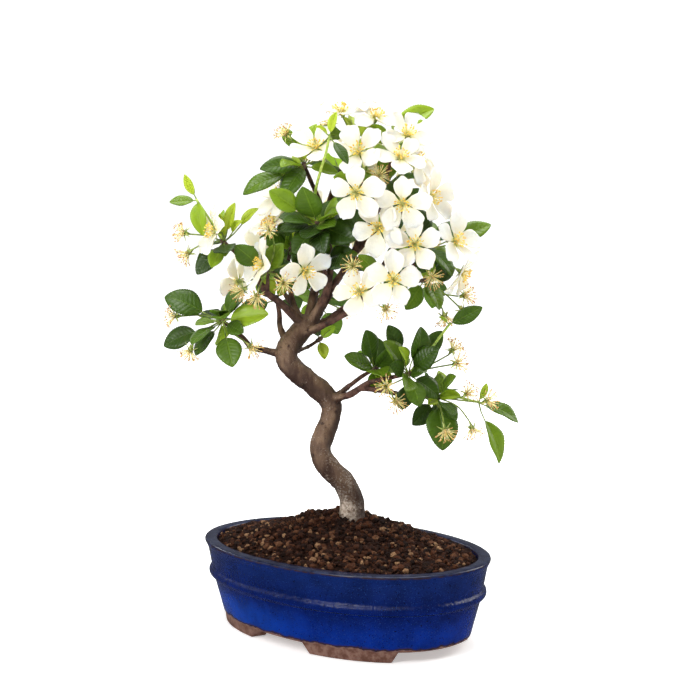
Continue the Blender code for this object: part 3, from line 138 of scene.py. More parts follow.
# Sprays: each grows on the tip of the branch named first. Leaves: tip from the spur, then blade
# length. Shoots: end of the soft green stem from the spur, then its leaves from that end.
# Flowers: middle of the bloom in the tree's frame, then where it faces. Faded: the same for a
# flower that has dropped its petals. Extra: leaves that follow only the spiral rule.
SPRAYS = {
    "left_tip": dict(
        branch="mid_left",
        leaves=((-20, -8, -23, 23), (-8, -12, -18, 16), (5, -8, -18, 13), (26, 4, 25, 17),
                (14, -8, 15, 12), (-11, -12, 27, 19)),
        shoots=(((-20, 2, 31), ((-8, -1, 19, 16), (-20, 1, -2, 20), (5, -8, -28, 25))),),
        flowers=((-92, -14, 293, -0.85, -0.45, 0.3),),
        faded=((-114, -10, 292, -0.8, -0.4, 0.2), (-113, -4, 277, -0.7, -0.2, -0.5)),
        extra=1),
    "left_low": dict(
        branch="low_left",
        leaves=((-40, 2, 17, 29), (10, 6, 17, 15), (33, -12, 5, 30), (-18, -10, -3, 15),
                (-25, -8, -19, 24), (7, -16, -32, 27), (-42, 8, -18, 26), (22, 4, -12, 20),
                (16, -16, -8, 18)),
        shoots=(),
        flowers=(),
        faded=((-121, -16, 232, -0.9, -0.3, 0.1), (-112, -6, 240, -0.6, 0, 0.8),
               (-110, -18, 209, -0.5, -0.2, -0.8), (-64, -20, 212, 0.6, -0.5, -0.6)),
        extra=1),
    "left_mid": dict(
        branch="left_mid_spur",
        leaves=((-18, -10, 22, 22), (12, -6, 20, 22), (-20, -2, -10, 16)),
        shoots=(),
        flowers=((-56, -26, 268, -0.85, -0.4, 0.15), (-28, -34, 266, 0.55, -0.7, -0.35)),
        faded=((-71, -30, 257, -0.5, -0.7, -0.5), (-60, -32, 247, -0.2, -0.7, -0.7),
               (-40, -42, 259, 0.0, -0.95, -0.2), (-52, -38, 293, -0.2, -0.9, 0.3)),
        extra=0),
    "left_inner": dict(
        branch="brown",
        leaves=((-22, -14, 6, 22), (18, -10, 12, 22), (-14, 6, 20, 22), (-18, -34, -4, 26),
                (20, -32, -12, 24)),
        shoots=(),
        flowers=((-52, 2, 298, -0.5, -0.4, 0.7),),
        faded=(),
        extra=0),
    "centre_low": dict(
        branch="leader_spur",
        leaves=((-16, -14, -4, 18), (20, -12, 8, 20), (-2, -18, 14, 18)),
        shoots=(),
        flowers=(),
        faded=((7, -46, 270, 0.1, -0.9, 0.2),),
        extra=0),
    "centre": dict(
        branch="leader",
        leaves=((-10, -22, -10, 25), (-24, -14, 4, 24), (6, -22, -20, 22), (26, -16, -10, 27),
                (16, -20, 8, 22), (-10, -20, 26, 27), (-32, -16, 17, 26), (34, -6, 4, 22)),
        shoots=(((9, -40, 61), ((13, -6, -20, 18), (4, 2, 16, 15), (-10, -6, 6, 14))),),
        flowers=(),
        faded=(),
        extra=2),
    "top_left": dict(
        branch="second",
        leaves=((-44, -4, -19, 32), (-33, -8, -3, 28), (-14, -10, -24, 28), (-28, 2, -32, 22),
                (-17, -6, 24, 19), (-26, 10, 2, 24)),
        shoots=(),
        flowers=((-44, 6, 318, -0.6, -0.6, 0.3), (-20, -16, 352, -0.2, -0.8, 0.6)),
        faded=((-41, -6, 361, -0.5, -0.3, 0.8),),
        extra=1),
    "top": dict(
        branch="top",
        leaves=((-4, -10, 20, 16), (12, -14, 14, 18)),
        shoots=(),
        flowers=((0, 0, 377, -0.3, -0.4, 0.8), (26, -6, 373, 0.2, -0.6, 0.8)),
        faded=((-10, 8, 377, -0.5, 0.1, 0.8),),
        extra=0),
    "upper_mid": dict(
        branch="right_up",
        leaves=((-16, -10, -14, 20), (20, -8, -16, 22)),
        shoots=(),
        flowers=((10, -33, 348, -0.2, -0.8, 0.5), (8, -48, 320, 0, -1, 0.05)),
        faded=((24, -40, 331, 0.3, -0.9, 0.1),),
        extra=0),
    "upper_right": dict(
        branch="upper_right",
        leaves=((20, 10, 6, 20),),
        shoots=(((-2, -2, 17), ((31, 4, 14, 31),)),),
        flowers=((36, -37, 340, 0.1, -0.9, 0.4), (41, -18, 361, 0.4, -0.6, 0.7),
                 (52, -6, 344, 0.8, -0.4, 0.4)),
        faded=(),
        extra=0),
    "right_mid": dict(
        branch="right_mid",
        leaves=((14, -4, 16, 20), (-6, -16, -16, 20)),
        shoots=(),
        flowers=((41, -47, 312, 0.05, -0.95, -0.2), (62, -28, 316, 0.8, -0.5, 0.1),
                 (25, -38, 296, -0.3, -0.9, 0.0)),
        faded=(),
        extra=0),
    "right": dict(
        branch="right_side",
        leaves=((46, 4, 16, 29), (24, 8, 20, 22), (20, -2, -22, 26), (8, -12, -24, 24)),
        shoots=(),
        flowers=((50, -45, 283, 0.0, -0.95, 0.3), (79, -28, 285, 0.6, -0.7, 0.3),
                 (84, -8, 264, 0.8, -0.3, -0.4)),
        faded=((63, -36, 262, 0.2, -0.9, -0.3),),
        extra=0),
    "front_low": dict(
        branch="right_low",
        leaves=((-14, -8, 14, 18), (20, -6, -14, 20)),
        shoots=(),
        flowers=((34, -57, 259, 0.1, -1, 0.1), (11, -49, 251, -0.3, -0.9, 0.4)),
        faded=((29, -44, 240, 0.2, -0.8, -0.5),),
        extra=0),
    "right_low": dict(
        branch="right_back",
        leaves=((10, -14, -20, 24), (-14, -10, -20, 22), (22, 6, 10, 20), (4, -8, 16, 20)),
        shoots=(),
        flowers=(),
        faded=((86, -2, 248, 0.8, -0.3, 0.1), (87, 6, 236, 0.7, 0, -0.5), (74, 2, 230, 0.3, -0.3, -0.9)),
        extra=0),
    "arm": dict(
        branch="arm",
        leaves=((-17, -8, 24, 24), (8, 0, 34, 24), (-14, 6, 34, 20), (20, -8, 20, 24),
                (10, -12, 2, 14), (26, 8, 30, 22)),
        shoots=(((30, 4, 36), ((24, 2, 12, 30), (-8, -4, 6, 16))),),
        flowers=(),
        faded=((30, -36, 183, -0.2, -0.9, 0.1), (82, -16, 198, 0.7, -0.5, 0.4),
               (80, -6, 207, 0.5, 0, 0.8)),
        extra=1),
    "arm_tip": dict(
        branch="arm_tip",
        leaves=((5, -14, -36, 32), (-18, -10, -20, 20), (18, -8, 2, 24), (2, 2, 18, 24),
                (-14, -14, -6, 18), (-2, 14, -24, 26)),
        shoots=(((32, 4, -4), ((30, 2, -16, 28), (17, -4, -44, 33), (6, 4, 14, 14))),),
        flowers=(),
        faded=((90, -12, 177, 0.5, -0.5, 0.7), (104, -8, 170, 0.8, -0.3, 0.4),
               (94, -16, 151, 0.4, -0.4, -0.7), (73, -26, 152, 0.0, -0.7, -0.6)),
        extra=1),
    "arm_inner": dict(
        branch="arm_inner",
        leaves=((-22, -10, 10, 24), (14, -6, 18, 24), (12, -12, -10, 25), (2, 8, 22, 22),
                (-4, -14, -16, 22)),
        shoots=(),
        flowers=(),
        faded=((38, -28, 172, 0.3, -0.8, -0.4),),
        extra=1),
    "trunk_twig": dict(
        branch="trunk_twig",
        leaves=((4, -4, -15, 13), (12, 4, 10, 14)),
        shoots=(),
        flowers=(),
        faded=(),
        extra=0),
    "left_stub": dict(
        branch="stub",
        leaves=((-14, 6, 12, 18), (12, 2, 14, 17)),
        shoots=(),
        flowers=(),
        faded=(),
        extra=0),
    "back_left": dict(
        branch="back_left",
        leaves=((-24, 14, 6, 26), (-14, 16, -16, 24), (4, 24, 10, 26)),
        shoots=(),
        flowers=((-62, 54, 276, -0.4, 0.8, 0.4), (-78, 34, 256, -0.8, 0.5, 0.1)),
        faded=(),
        extra=0),
    "back_mid": dict(
        branch="back_mid",
        leaves=((-18, 14, 10, 25), (18, 16, 2, 26), (4, 18, -22, 25)),
        shoots=(),
        flowers=((-20, 70, 304, -0.2, 0.9, 0.4), (4, 74, 288, 0.3, 0.9, 0.0)),
        faded=((-16, 66, 268, -0.2, 0.8, -0.5),),
        extra=1),
    "back_top": dict(
        branch="back_top",
        leaves=((-24, 10, 8, 26), (4, 22, -12, 26), (-10, 12, 22, 22)),
        shoots=(),
        flowers=((-10, 54, 354, -0.3, 0.6, 0.7), (16, 52, 338, 0.4, 0.85, 0.2)),
        faded=(),
        extra=0),
    "back_right": dict(
        branch="back_right",
        leaves=((24, 10, 10, 27), (10, 22, -14, 26), (-18, 18, 6, 25)),
        shoots=(),
        flowers=((52, 58, 296, 0.4, 0.8, 0.4), (66, 40, 272, 0.9, 0.4, -0.1)),
        faded=(),
        extra=0),
    "back_upper": dict(
        branch="back_upper",
        leaves=((24, 12, 6, 26), (8, 22, 12, 24), (20, 4, -18, 24)),
        shoots=(),
        flowers=((50, 42, 340, 0.6, 0.7, 0.4), (28, 40, 352, 0.0, 0.7, 0.7)),
        faded=(),
        extra=0),
    "back_low": dict(
        branch="back_low",
        leaves=((-22, 14, 4, 26), (16, 18, 6, 26), (-6, 16, -22, 26)),
        shoots=(),
        flowers=(),
        faded=((0, 62, 232, 0.4, 0.8, -0.2),),
        extra=1),
}


def smooth_route(points, step):
    """A Catmull-Rom curve through the points, of any number of values each, about step apart."""
    out = []
    for i in range(len(points) - 1):
        before = points[max(i - 1, 0)]
        start = points[i]
        end = points[i + 1]
        after = points[min(i + 2, len(points) - 1)]
        length = (Vector(end[:3]) - Vector(start[:3])).length
        count = max(1, round(length / step))
        for k in range(count):
            t = k / count
            out.append([0.5 * (2 * b + (c - a) * t + (2 * a - 5 * b + 4 * c - d) * t * t
                               + (3 * b - a - 3 * c + d) * t ** 3)
                        for a, b, c, d in zip(before, start, end, after)])
    out.append(list(points[-1]))
    return out


def branch_route(name, step):
    """Points with radii from the older wood to just short of the spur at the branch's tip."""
    first, last, *points = BRANCHES[name]
    route = [Vector(p) for p in smooth_route(points, step)]
    end = route[-1]
    back = (route[-2] - end).normalized()
    route[-1] = end + back * 2.4
    count = len(route) - 1
    return [(p, first + (last - first) * (i / count) ** 0.7) for i, p in enumerate(route)]


def spur_of(spray):
    """The spur point at the tip of a spray's branch, and the way that the branch points there."""
    points = BRANCHES[spray["branch"]][2:]
    end = Vector(points[-1])
    return end, (end - Vector(points[-2])).normalized()


def bent_stem(start, end, way_in, way_out, count):
    """Points along a stem that leaves start one way and reaches end another."""
    length = (end - start).length
    a = start + way_in * length * 0.35
    b = end - way_out * length * 0.35
    points = []
    for i in range(count + 1):
        t = i / count
        u = 1 - t
        points.append(start * u ** 3 + a * 3 * u * u * t + b * 3 * u * t * t + end * t ** 3)
    return points


def random_unit(rng):
    while True:
        way = Vector((rng.uniform(-1, 1), rng.uniform(-1, 1), rng.uniform(-1, 1)))
        if 0.1 < way.length < 1:
            return way.normalized()


def leaf_half_width(t):
    """Outline of a crabapple leaf along its blade, 1 at its widest."""
    return max(0.0, math.sin(math.pi * t ** 0.92)) ** 0.7


def leaf_point(leaf, s, t):
    """Point s across (-1 to 1) and t along (0 to 1) the blade."""
    along = leaf["tip"] - leaf["base"]
    length = along.length
    ahead = along / length
    side = leaf["side"]
    up = side.cross(ahead)
    half = leaf["width"] * 0.5 * leaf_half_width(t)
    arch = leaf["arch"] * length * 4 * t * (1 - t)
    wave = leaf["wave"] * abs(s) * math.sin(5.2 * t + (2.1 if s > 0 else 0.4))
    return (leaf["base"] + along * t + side * half * s
            + up * (arch + abs(s) * half * leaf["fold"] + wave))


def leaf_surface(leaf, stalk=True):
    """Few triangles for one leaf: a strip for its stalk and a folded blade."""
    side = leaf["side"] * PETIOLE_WIDTH * 0.5
    points = [leaf["root"] - side, leaf["root"] + side, leaf["base"] - side, leaf["base"] + side]
    points += [leaf_point(leaf, s, t) for t, s in ((0.36, -1), (0.36, 0), (0.36, 1), (0.74, -1), (0.74, 1))]
    points.append(leaf["tip"])
    faces = [(0, 1, 3), (0, 3, 2), (2, 5, 4), (2, 3, 5), (3, 6, 5), (4, 5, 7), (5, 8, 7), (5, 6, 8),
             (7, 8, 9)]
    if not stalk:
        points = points[2:]
        faces = [tuple(i - 2 for i in face) for face in faces[2:]]
    return points, faces


def petal_point(bloom, petal, s, t):
    """Point s across and t along one petal, cupped and turned about the bloom's middle."""
    across, upright, facing = bloom["axes"]
    turn = petal["turn"]
    out = across * math.cos(turn) + upright * math.sin(turn)
    side = facing.cross(out)
    half = petal["width"] * 0.5 * (0.11 + 0.89 * math.sin(math.pi * min(1, t * 1.02) ** 1.3) ** 0.8)
    if t > 0.985:
        half = petal["width"] * 0.14
    reach = 2.5 + petal["length"] * t
    rise = petal["length"] * (petal["lift"] * t + petal["cup"] * t * t)
    return (bloom["middle"] + out * reach + side * half * s
            + facing * (0.35 + rise + petal["roll"] * half * abs(s) + petal["twist"] * half * s))


def bloom_surface(bloom):
    """Few triangles for one bloom: five petals round a small middle."""
    points = [bloom["middle"] + bloom["axes"][2] * 0.35]
    faces = []
    petals = bloom["petals"]
    for petal in petals:
        k = len(points)
        points += [petal_point(bloom, petal, s, t) for t, s in (
            (0, -1), (0, 1), (0.58, -1.04), (0.58, 0), (0.58, 1.04), (0.93, -1.6), (0.93, 1.6))]
        faces += [(0, k, k + 1), (0, k + 1, (k + 6) % 35 + 1)]
        faces += [tuple(k + i for i in face) for face in (
            (0, 3, 1), (0, 2, 3), (1, 3, 4), (2, 5, 3), (3, 5, 6), (3, 6, 4))]
    return points, faces


def thick(points, faces, thickness):
    """Both faces and the rim of a blade of this thickness."""
    normals = [Vector() for _ in points]
    edges = {}
    for face in faces:
        a, b, c = (points[i] for i in face)
        normal = (b - a).cross(c - a)
        for i in face:
            normals[i] += normal
        for i in range(3):
            edges[(face[i], face[(i + 1) % 3])] = 1
    n = len(points)
    half = thickness * 0.5
    solid = [p + v.normalized() * half for p, v in zip(points, normals)]
    solid += [p - v.normalized() * half for p, v in zip(points, normals)]
    sides = [tuple(face) for face in faces] + [(c + n, b + n, a + n) for a, b, c in faces]
    for a, b in edges:
        if (b, a) not in edges:
            sides += [(b, a, a + n), (b, a + n, b + n)]
    return solid, sides


def tube_faces(route, sides=4):
    """Corners and triangles of a tube through (point, radius) pairs."""
    points = []
    faces = []
    for i, (p, radius) in enumerate(route):
        ahead = (route[min(i + 1, len(route) - 1)][0] - route[max(i - 1, 0)][0]).normalized()
        side = ahead.orthogonal().normalized()
        other = ahead.cross(side)
        for k in range(sides):
            angle = 2 * math.pi * k / sides
            points.append(p + (side * math.cos(angle) + other * math.sin(angle)) * radius)
    for i in range(len(route) - 1):
        for k in range(sides):
            a = i * sides + k
            b = i * sides + (k + 1) % sides
            faces += [(a, b, b + sides), (a, b + sides, a + sides)]
    last = (len(route) - 1) * sides
    for k in range(1, sides - 1):
        faces += [(0, k + 1, k), (last, last + k, last + k + 1)]
    return points, faces


class Crown:
    """Everything that grows, with what each new piece must stay clear of."""

    def __init__(self):
        self.taken = []

    def tree_of(self, shape):
        points, faces = shape
        tree = BVHTree.FromPolygons([tuple(p) for p in points], faces, all_triangles=True)
        low = [min(p[i] for p in points) for i in range(3)]
        high = [max(p[i] for p in points) for i in range(3)]
        return tree, low, high

    def hits(self, shape, skip=()):
        """Names of the pieces that this closed shape crosses."""
        tree, low, high = self.tree_of(shape)
        found = set()
        for name, other, other_low, other_high in self.taken:
            if name in skip or name in found:
                continue
            if any(low[i] > other_high[i] or high[i] < other_low[i] for i in range(3)):
                continue
            if tree.overlap(other):
                found.add(name)
        return found

    def take(self, name, shape):
        tree, low, high = self.tree_of(shape)
        self.taken.append((name, tree, low, high))


def make_leaf(rng, root, tip, length, start):
    """A leaf with its stalk from root, set out by start, and its tip about where it is asked for."""
    reach = tip - root
    length = min(length, reach.length - 2.5)
    base = tip - reach.normalized() * length
    ahead = reach.normalized()
    outward = Vector((tip.x + 12, tip.y, 0)).normalized()
    light = Vector((0, -0.8 if tip.y < 20 else 0.3, 0.65)) + outward * 0.35
    side = ahead.cross(light.normalized() + random_unit(rng) * 0.4)
    if side.length < 0.2:
        side = ahead.orthogonal()
    slim = 0.72 if start == 0 or tip.x > 85 else 0.64 if tip.x < -52 and tip.z > 305 else 1
    return dict(root=root + ahead * start, base=base, tip=tip, side=side.normalized(),
                width=length * rng.uniform(0.6, 0.74) * slim, fold=rng.uniform(0.08, 0.3),
                arch=rng.uniform(-0.02, 0.11), wave=length * rng.uniform(0, 0.02))


def make_bloom(rng, middle, facing):
    facing = (facing.normalized() + random_unit(rng) * 0.12).normalized()
    across = facing.cross(Vector((0.1, 0.2, 1))).normalized()
    bloom = dict(middle=middle, axes=(across, facing.cross(across), facing), petals=[])
    start = rng.uniform(0, 2 * math.pi)
    openness = rng.uniform(0.0, 0.22)
    for i in range(5):
        length = PETAL_LENGTH * rng.uniform(0.92, 1.06) - 2.5
        bloom["petals"].append(dict(
            turn=start + 2 * math.pi * (i + rng.uniform(-0.04, 0.04)) / 5, length=length,
            width=length * rng.uniform(0.64, 0.73), lift=openness + rng.uniform(-0.03, 0.16),
            cup=rng.uniform(-0.12, 0.16), roll=rng.uniform(0.05, 0.3), twist=rng.uniform(-0.15, 0.15)))
    return bloom


def flower_stem(rng, spur, way, middle, facing):
    """A thin stem from the spur to the back of a flower."""
    end = middle - facing * 5.2
    lean = ((end - spur).normalized() + way * rng.uniform(0.0, 0.8) + random_unit(rng) * 0.45).normalized()
    points = bent_stem(spur + lean * 0.9, end, lean, facing, 2)
    return [(p, PEDICEL_RADIUS) for p in points] + [(middle - facing * GAP, 2.4)]


def grown(route, extra):
    return [(p, radius + extra) for p, radius in route]


def grow_leaves(rng, crown, plan, chosen):
    """Draws the leaves of the chosen lengths, each turned or shortened until it is clear."""
    for name, spray in SPRAYS.items():
        spur, way = spur_of(spray)
        wanted = [(spur, spur + Vector(leaf[:3]), leaf[3], 0.8) for leaf in spray["leaves"]]
        for (end, leaves), stem in zip(spray["shoots"], plan[name]["shoots"]):
            stop = stem[-1][0] - Vector(end).normalized() * 1.0
            wanted += [(stop, stop + Vector(leaf[:3]), leaf[3], 0.0) for leaf in leaves]
        side = way.orthogonal().normalized()
        for i in range(spray["extra"]):
            turn = 2.4 * (i + 1) + rng.uniform(-0.3, 0.3)
            out = side * math.cos(turn) + way.cross(side) * math.sin(turn) + way * rng.uniform(-0.1, 0.6)
            length = rng.uniform(20, 27)
            wanted.append((spur, spur + out.normalized() * (length + rng.uniform(5, 9)), length, 0.8))
        for root, tip, length, start in wanted:
            if not chosen(length):
                continue
            for attempt in range(LEAF_TRIES):
                loose = attempt / LEAF_TRIES
                size = length * (1 - 0.25 * loose)
                reach = (tip - root) * (1 - 0.2 * loose)
                aim = root + reach + random_unit(rng) * reach.length * (0.04 + 0.75 * loose)
                leaf = make_leaf(rng, root, aim, size, start)
                shape = thick(*leaf_surface(leaf), LEAF_THICKNESS + CLEARANCE)
                if crown.hits(shape, skip=(name,)):
                    continue
                crown.take(name, shape)
                blade = thick(*leaf_surface(leaf, stalk=False), LEAF_THICKNESS + 0.2)
                crown.take(name + " outer", blade)
                plan[name]["leaves"].append(leaf)
                break


def fill_out(crown, plan):
    """Smaller leaves round each spur, between the large ones and clear of all else."""
    rng = random.Random(40)
    for name, spray in SPRAYS.items():
        spur, way = spur_of(spray)
        wanted = MORE_LEAVES.get(name, 4)
        side = way.orthogonal().normalized()
        for attempt in range(wanted * 16):
            if not wanted:
                break
            turn = 2.4 * attempt + rng.uniform(-0.4, 0.4)
            out = side * math.cos(turn) + way.cross(side) * math.sin(turn) + way * rng.uniform(-0.5, 0.9)
            length = rng.uniform(15, 26)
            tip = spur + out.normalized() * (length + rng.uniform(4, 11))
            leaf = make_leaf(rng, spur, tip, length, 0.8)
            shape = thick(*leaf_surface(leaf), LEAF_THICKNESS + 0.5)
            if crown.hits(shape, skip=(name,)):
                continue
            crown.take(name, shape)
            crown.take(name + " outer", thick(*leaf_surface(leaf, stalk=False), LEAF_THICKNESS + 0.2))
            plan[name]["leaves"].append(leaf)
            wanted -= 1


def plan_crown(seed=7):
    """Draws every leaf and flower of every spray, each bent until it crosses nothing else."""
    rng = random.Random(seed)
    crown = Crown()
    trunk = [(Vector(p[:3]), p[3]) for p in smooth_route(TRUNK, 8)]
    crown.take("wood", tube_faces(grown(trunk, 0.6), 8))
    for name in BRANCHES:
        crown.take("wood", tube_faces(grown(branch_route(name, 9), 0.45), 6))
    plan = {name: dict(leaves=[], shoots=[], flowers=[], faded=[]) for name in SPRAYS}
    # A round knob around each spur is kept free of other sprays.
    for name, spray in SPRAYS.items():
        spur, way = spur_of(spray)
        knob = [(spur - way * 2.0, 2.4), (spur + way * 2.6, 2.2)]
        crown.take(name, tube_faces(knob, 6))
        for end, leaves in spray["shoots"]:
            stop = spur + Vector(end)
            stem = [(p, 0.9) for p in bent_stem(spur, stop, (way + Vector((0, 0, 0.6))).normalized(),
                                                 Vector(end).normalized(), 5)]
            crown.take(name, tube_faces(grown(stem, CLEARANCE * 0.5), 4))
            plan[name]["shoots"].append(stem)
    petals = Crown()
    bunches = []
    grow_leaves(rng, crown, plan, lambda length: length >= LONG_LEAF)
    for name, spray in SPRAYS.items():
        spur, way = spur_of(spray)
        for flower in spray["flowers"]:
            for attempt in range(BLOOM_TRIES):
                loose = attempt / BLOOM_TRIES
                middle = Vector(flower[:3]) + random_unit(rng) * (1 + 7 * loose)
                bloom = make_bloom(rng, middle, Vector(flower[3:]) + random_unit(rng) * 0.5 * loose)
                stem = flower_stem(rng, spur, way, middle, bloom["axes"][2])
                real = thick(*bloom_surface(bloom), PETAL_THICKNESS)
                wide = thick(*bloom_surface(bloom), PETAL_THICKNESS + CLEARANCE)
                facing = bloom["axes"][2]
                tuft = tube_faces([(middle + facing, 2.6), (middle + facing * 7.2, 7.0)], 8)
                joined = petals.hits(real)
                near = crown.hits(wide)
                if any(not hit.startswith("bunch") for hit in crown.hits(tuft)):
                    continue
                if any(not hit.startswith("bunch") for hit in near) or near != joined:
                    continue
                around = tube_faces(grown(stem, CLEARANCE * 0.5), 4)
                if crown.hits(around, skip=(name,)):
                    continue
                own = Crown()
                own.take("own", wide)
                if own.hits(tube_faces(grown(stem[:-1], CLEARANCE * 0.5), 4)):
                    continue
                bunch = f"bunch{len(bunches)}"
                bunches.append(dict(name=bunch, blooms=[bloom]))
                crown.take(bunch, wide)
                crown.take(bunch, tuft)
                petals.take(bunch, real)
                for other in joined:
                    for kept in (crown, petals):
                        kept.taken = [(bunch if t[0] == other else t[0], *t[1:]) for t in kept.taken]
                    for old in bunches:
                        if old["name"] == other:
                            bunches[-1]["blooms"] += old["blooms"]
                            old["blooms"] = []
                crown.take(name, around)
                crown.take(name + " outer", tube_faces(grown(stem[1:], CLEARANCE * 0.5), 4))
                plan[name]["flowers"].append(dict(stem=stem, middle=middle, facing=bloom["axes"][2]))
                break
        for flower in spray["faded"]:
            for attempt in range(BLOOM_TRIES):
                loose = attempt / BLOOM_TRIES
                middle = Vector(flower[:3]) + random_unit(rng) * (1 + 7 * loose)
                facing = (Vector(flower[3:]).normalized() + random_unit(rng) * 0.2).normalized()
                stem = flower_stem(rng, spur, way, middle, facing)
                around = tube_faces(grown(stem, CLEARANCE * 0.5), 4)
                head = tube_faces([(middle - facing, 2.8), (middle + facing * 9, 8.0)], 6)
                if crown.hits(around, skip=(name,)) or crown.hits(head, skip=(name,)):
                    continue
                crown.take(name, around)
                crown.take(name + " outer", tube_faces(grown(stem[1:], CLEARANCE * 0.5), 4))
                crown.take(name + " outer", head)
                plan[name]["faded"].append(dict(stem=stem, middle=middle, facing=facing))
                break
    grow_leaves(rng, crown, plan, lambda length: length < LONG_LEAF)
    fill_out(crown, plan)
    return plan, [bunch["blooms"] for bunch in bunches if bunch["blooms"]]


MORE_LEAVES = {"arm": 7, "arm_inner": 6, "arm_tip": 7, "left_low": 7, "left_tip": 5, "left_mid": 6,
               "left_inner": 6, "centre": 7, "centre_low": 5, "top_left": 7, "top": 4, "right_low": 5,
               "trunk_twig": 1, "left_stub": 3}
POT_INSIDE = ((21.5, FLOOR_HEIGHT), (18.5, 17.0), (12.2, 44.0), (9.2, 62.3))

low, high = (Vector(corner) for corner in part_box("pot"))
MIDDLE = Vector(((low.x + high.x) / 2, (low.y + high.y) / 2, 0))
FRONT = Matrix.Rotation(FRONT_TURN, 3, "Z")


def in_row(point):
    """From the tree's front view in millimetres to the part's frame in metres."""
    return MIDDLE + (FRONT @ Vector(point)) * MM


def oval(inset, angle):
    """Point on the pot's oval outline, moved in by inset."""
    power = 2 / POT_SQUARENESS
    c = math.cos(angle)
    s = math.sin(angle)
    return (math.copysign(abs(c) ** power, c) * (POT_HALF_LENGTH - inset),
            math.copysign(abs(s) ** power, s) * (POT_HALF_WIDTH - inset))


# Paint shop


def node(tree, kind, inputs=(), **settings):
    made = tree.nodes.new("ShaderNode" + kind)
    for key, value in settings.items():
        setattr(made, key, value)
    for key, value in dict(inputs).items():
        if isinstance(value, bpy.types.NodeSocket):
            tree.links.new(value, made.inputs[key])
        else:
            made.inputs[key].default_value = value
    return made


def sums(tree, operation, *values):
    return node(tree, "Math", dict(enumerate(values)), operation=operation).outputs[0]


def blend(tree, factor, first, second):
    mixed = node(tree, "Mix", {0: factor, 6: first, 7: second}, data_type="RGBA")
    return mixed.outputs[2]


def step_up(tree, value, low, high, to_low=0.0, to_high=1.0):
    made = node(tree, "MapRange", {0: value, 1: low, 2: high, 3: to_low, 4: to_high},
                interpolation_type="SMOOTHSTEP")
    return made.outputs[0]


def make_mottle():
    """Two colours mixed in soft patches, with the patches' height."""
    group = bpy.data.node_groups.new("mottle", "ShaderNodeTree")
    for name, kind in (("Place", "Vector"), ("Scale", "Float"), ("Stretch", "Vector"),
                       ("Dark", "Color"), ("Light", "Color")):
        group.interface.new_socket(name, in_out="INPUT", socket_type="NodeSocket" + kind)
    for name, kind in (("Colour", "Color"), ("Height", "Float")):
        group.interface.new_socket(name, in_out="OUTPUT", socket_type="NodeSocket" + kind)
    put = group.nodes.new("NodeGroupInput")
    out = group.nodes.new("NodeGroupOutput")
    place = node(group, "VectorMath", {0: put.outputs["Place"], 1: put.outputs["Stretch"]},
                 operation="MULTIPLY").outputs[0]
    patches = node(group, "TexNoise", {"Vector": place, "Scale": put.outputs["Scale"], "Detail": 5.0,
                                       "Roughness": 0.6}).outputs[0]
    share = step_up(group, patches, 0.34, 0.66)
    colour = blend(group, share, put.outputs["Dark"], put.outputs["Light"])
    group.links.new(colour, out.inputs["Colour"])
    group.links.new(share, out.inputs["Height"])
    return group


MOTTLE = make_mottle()


def mottle(tree, place, scale, dark, light, stretch=(1, 1, 1)):
    made = tree.nodes.new("ShaderNodeGroup")
    made.node_tree = MOTTLE
    tree.links.new(place, made.inputs["Place"])
    made.inputs["Scale"].default_value = scale
    made.inputs["Stretch"].default_value = stretch
    for name, colour in (("Dark", dark), ("Light", light)):
        if isinstance(colour, bpy.types.NodeSocket):
            tree.links.new(colour, made.inputs[name])
        else:
            made.inputs[name].default_value = (*colour, 1)
    return made.outputs["Colour"], made.outputs["Height"]


def start_paint(name, roughness, **constants):
    material = bpy.data.materials.new(name)
    material.use_nodes = True
    tree = material.node_tree
    shader = tree.nodes["Principled BSDF"]
    shader.inputs["Roughness"].default_value = roughness
    for key, value in constants.items():
        shader.inputs[key.replace("_", " ")].default_value = value
    place = node(tree, "TexCoord").outputs["Object"]
    return material, tree, shader, place


def bump(tree, shader, height, distance, strength=1.0):
    made = node(tree, "Bump", {"Strength": strength, "Distance": distance, "Height": height})
    tree.links.new(made.outputs[0], shader.inputs["Normal"])


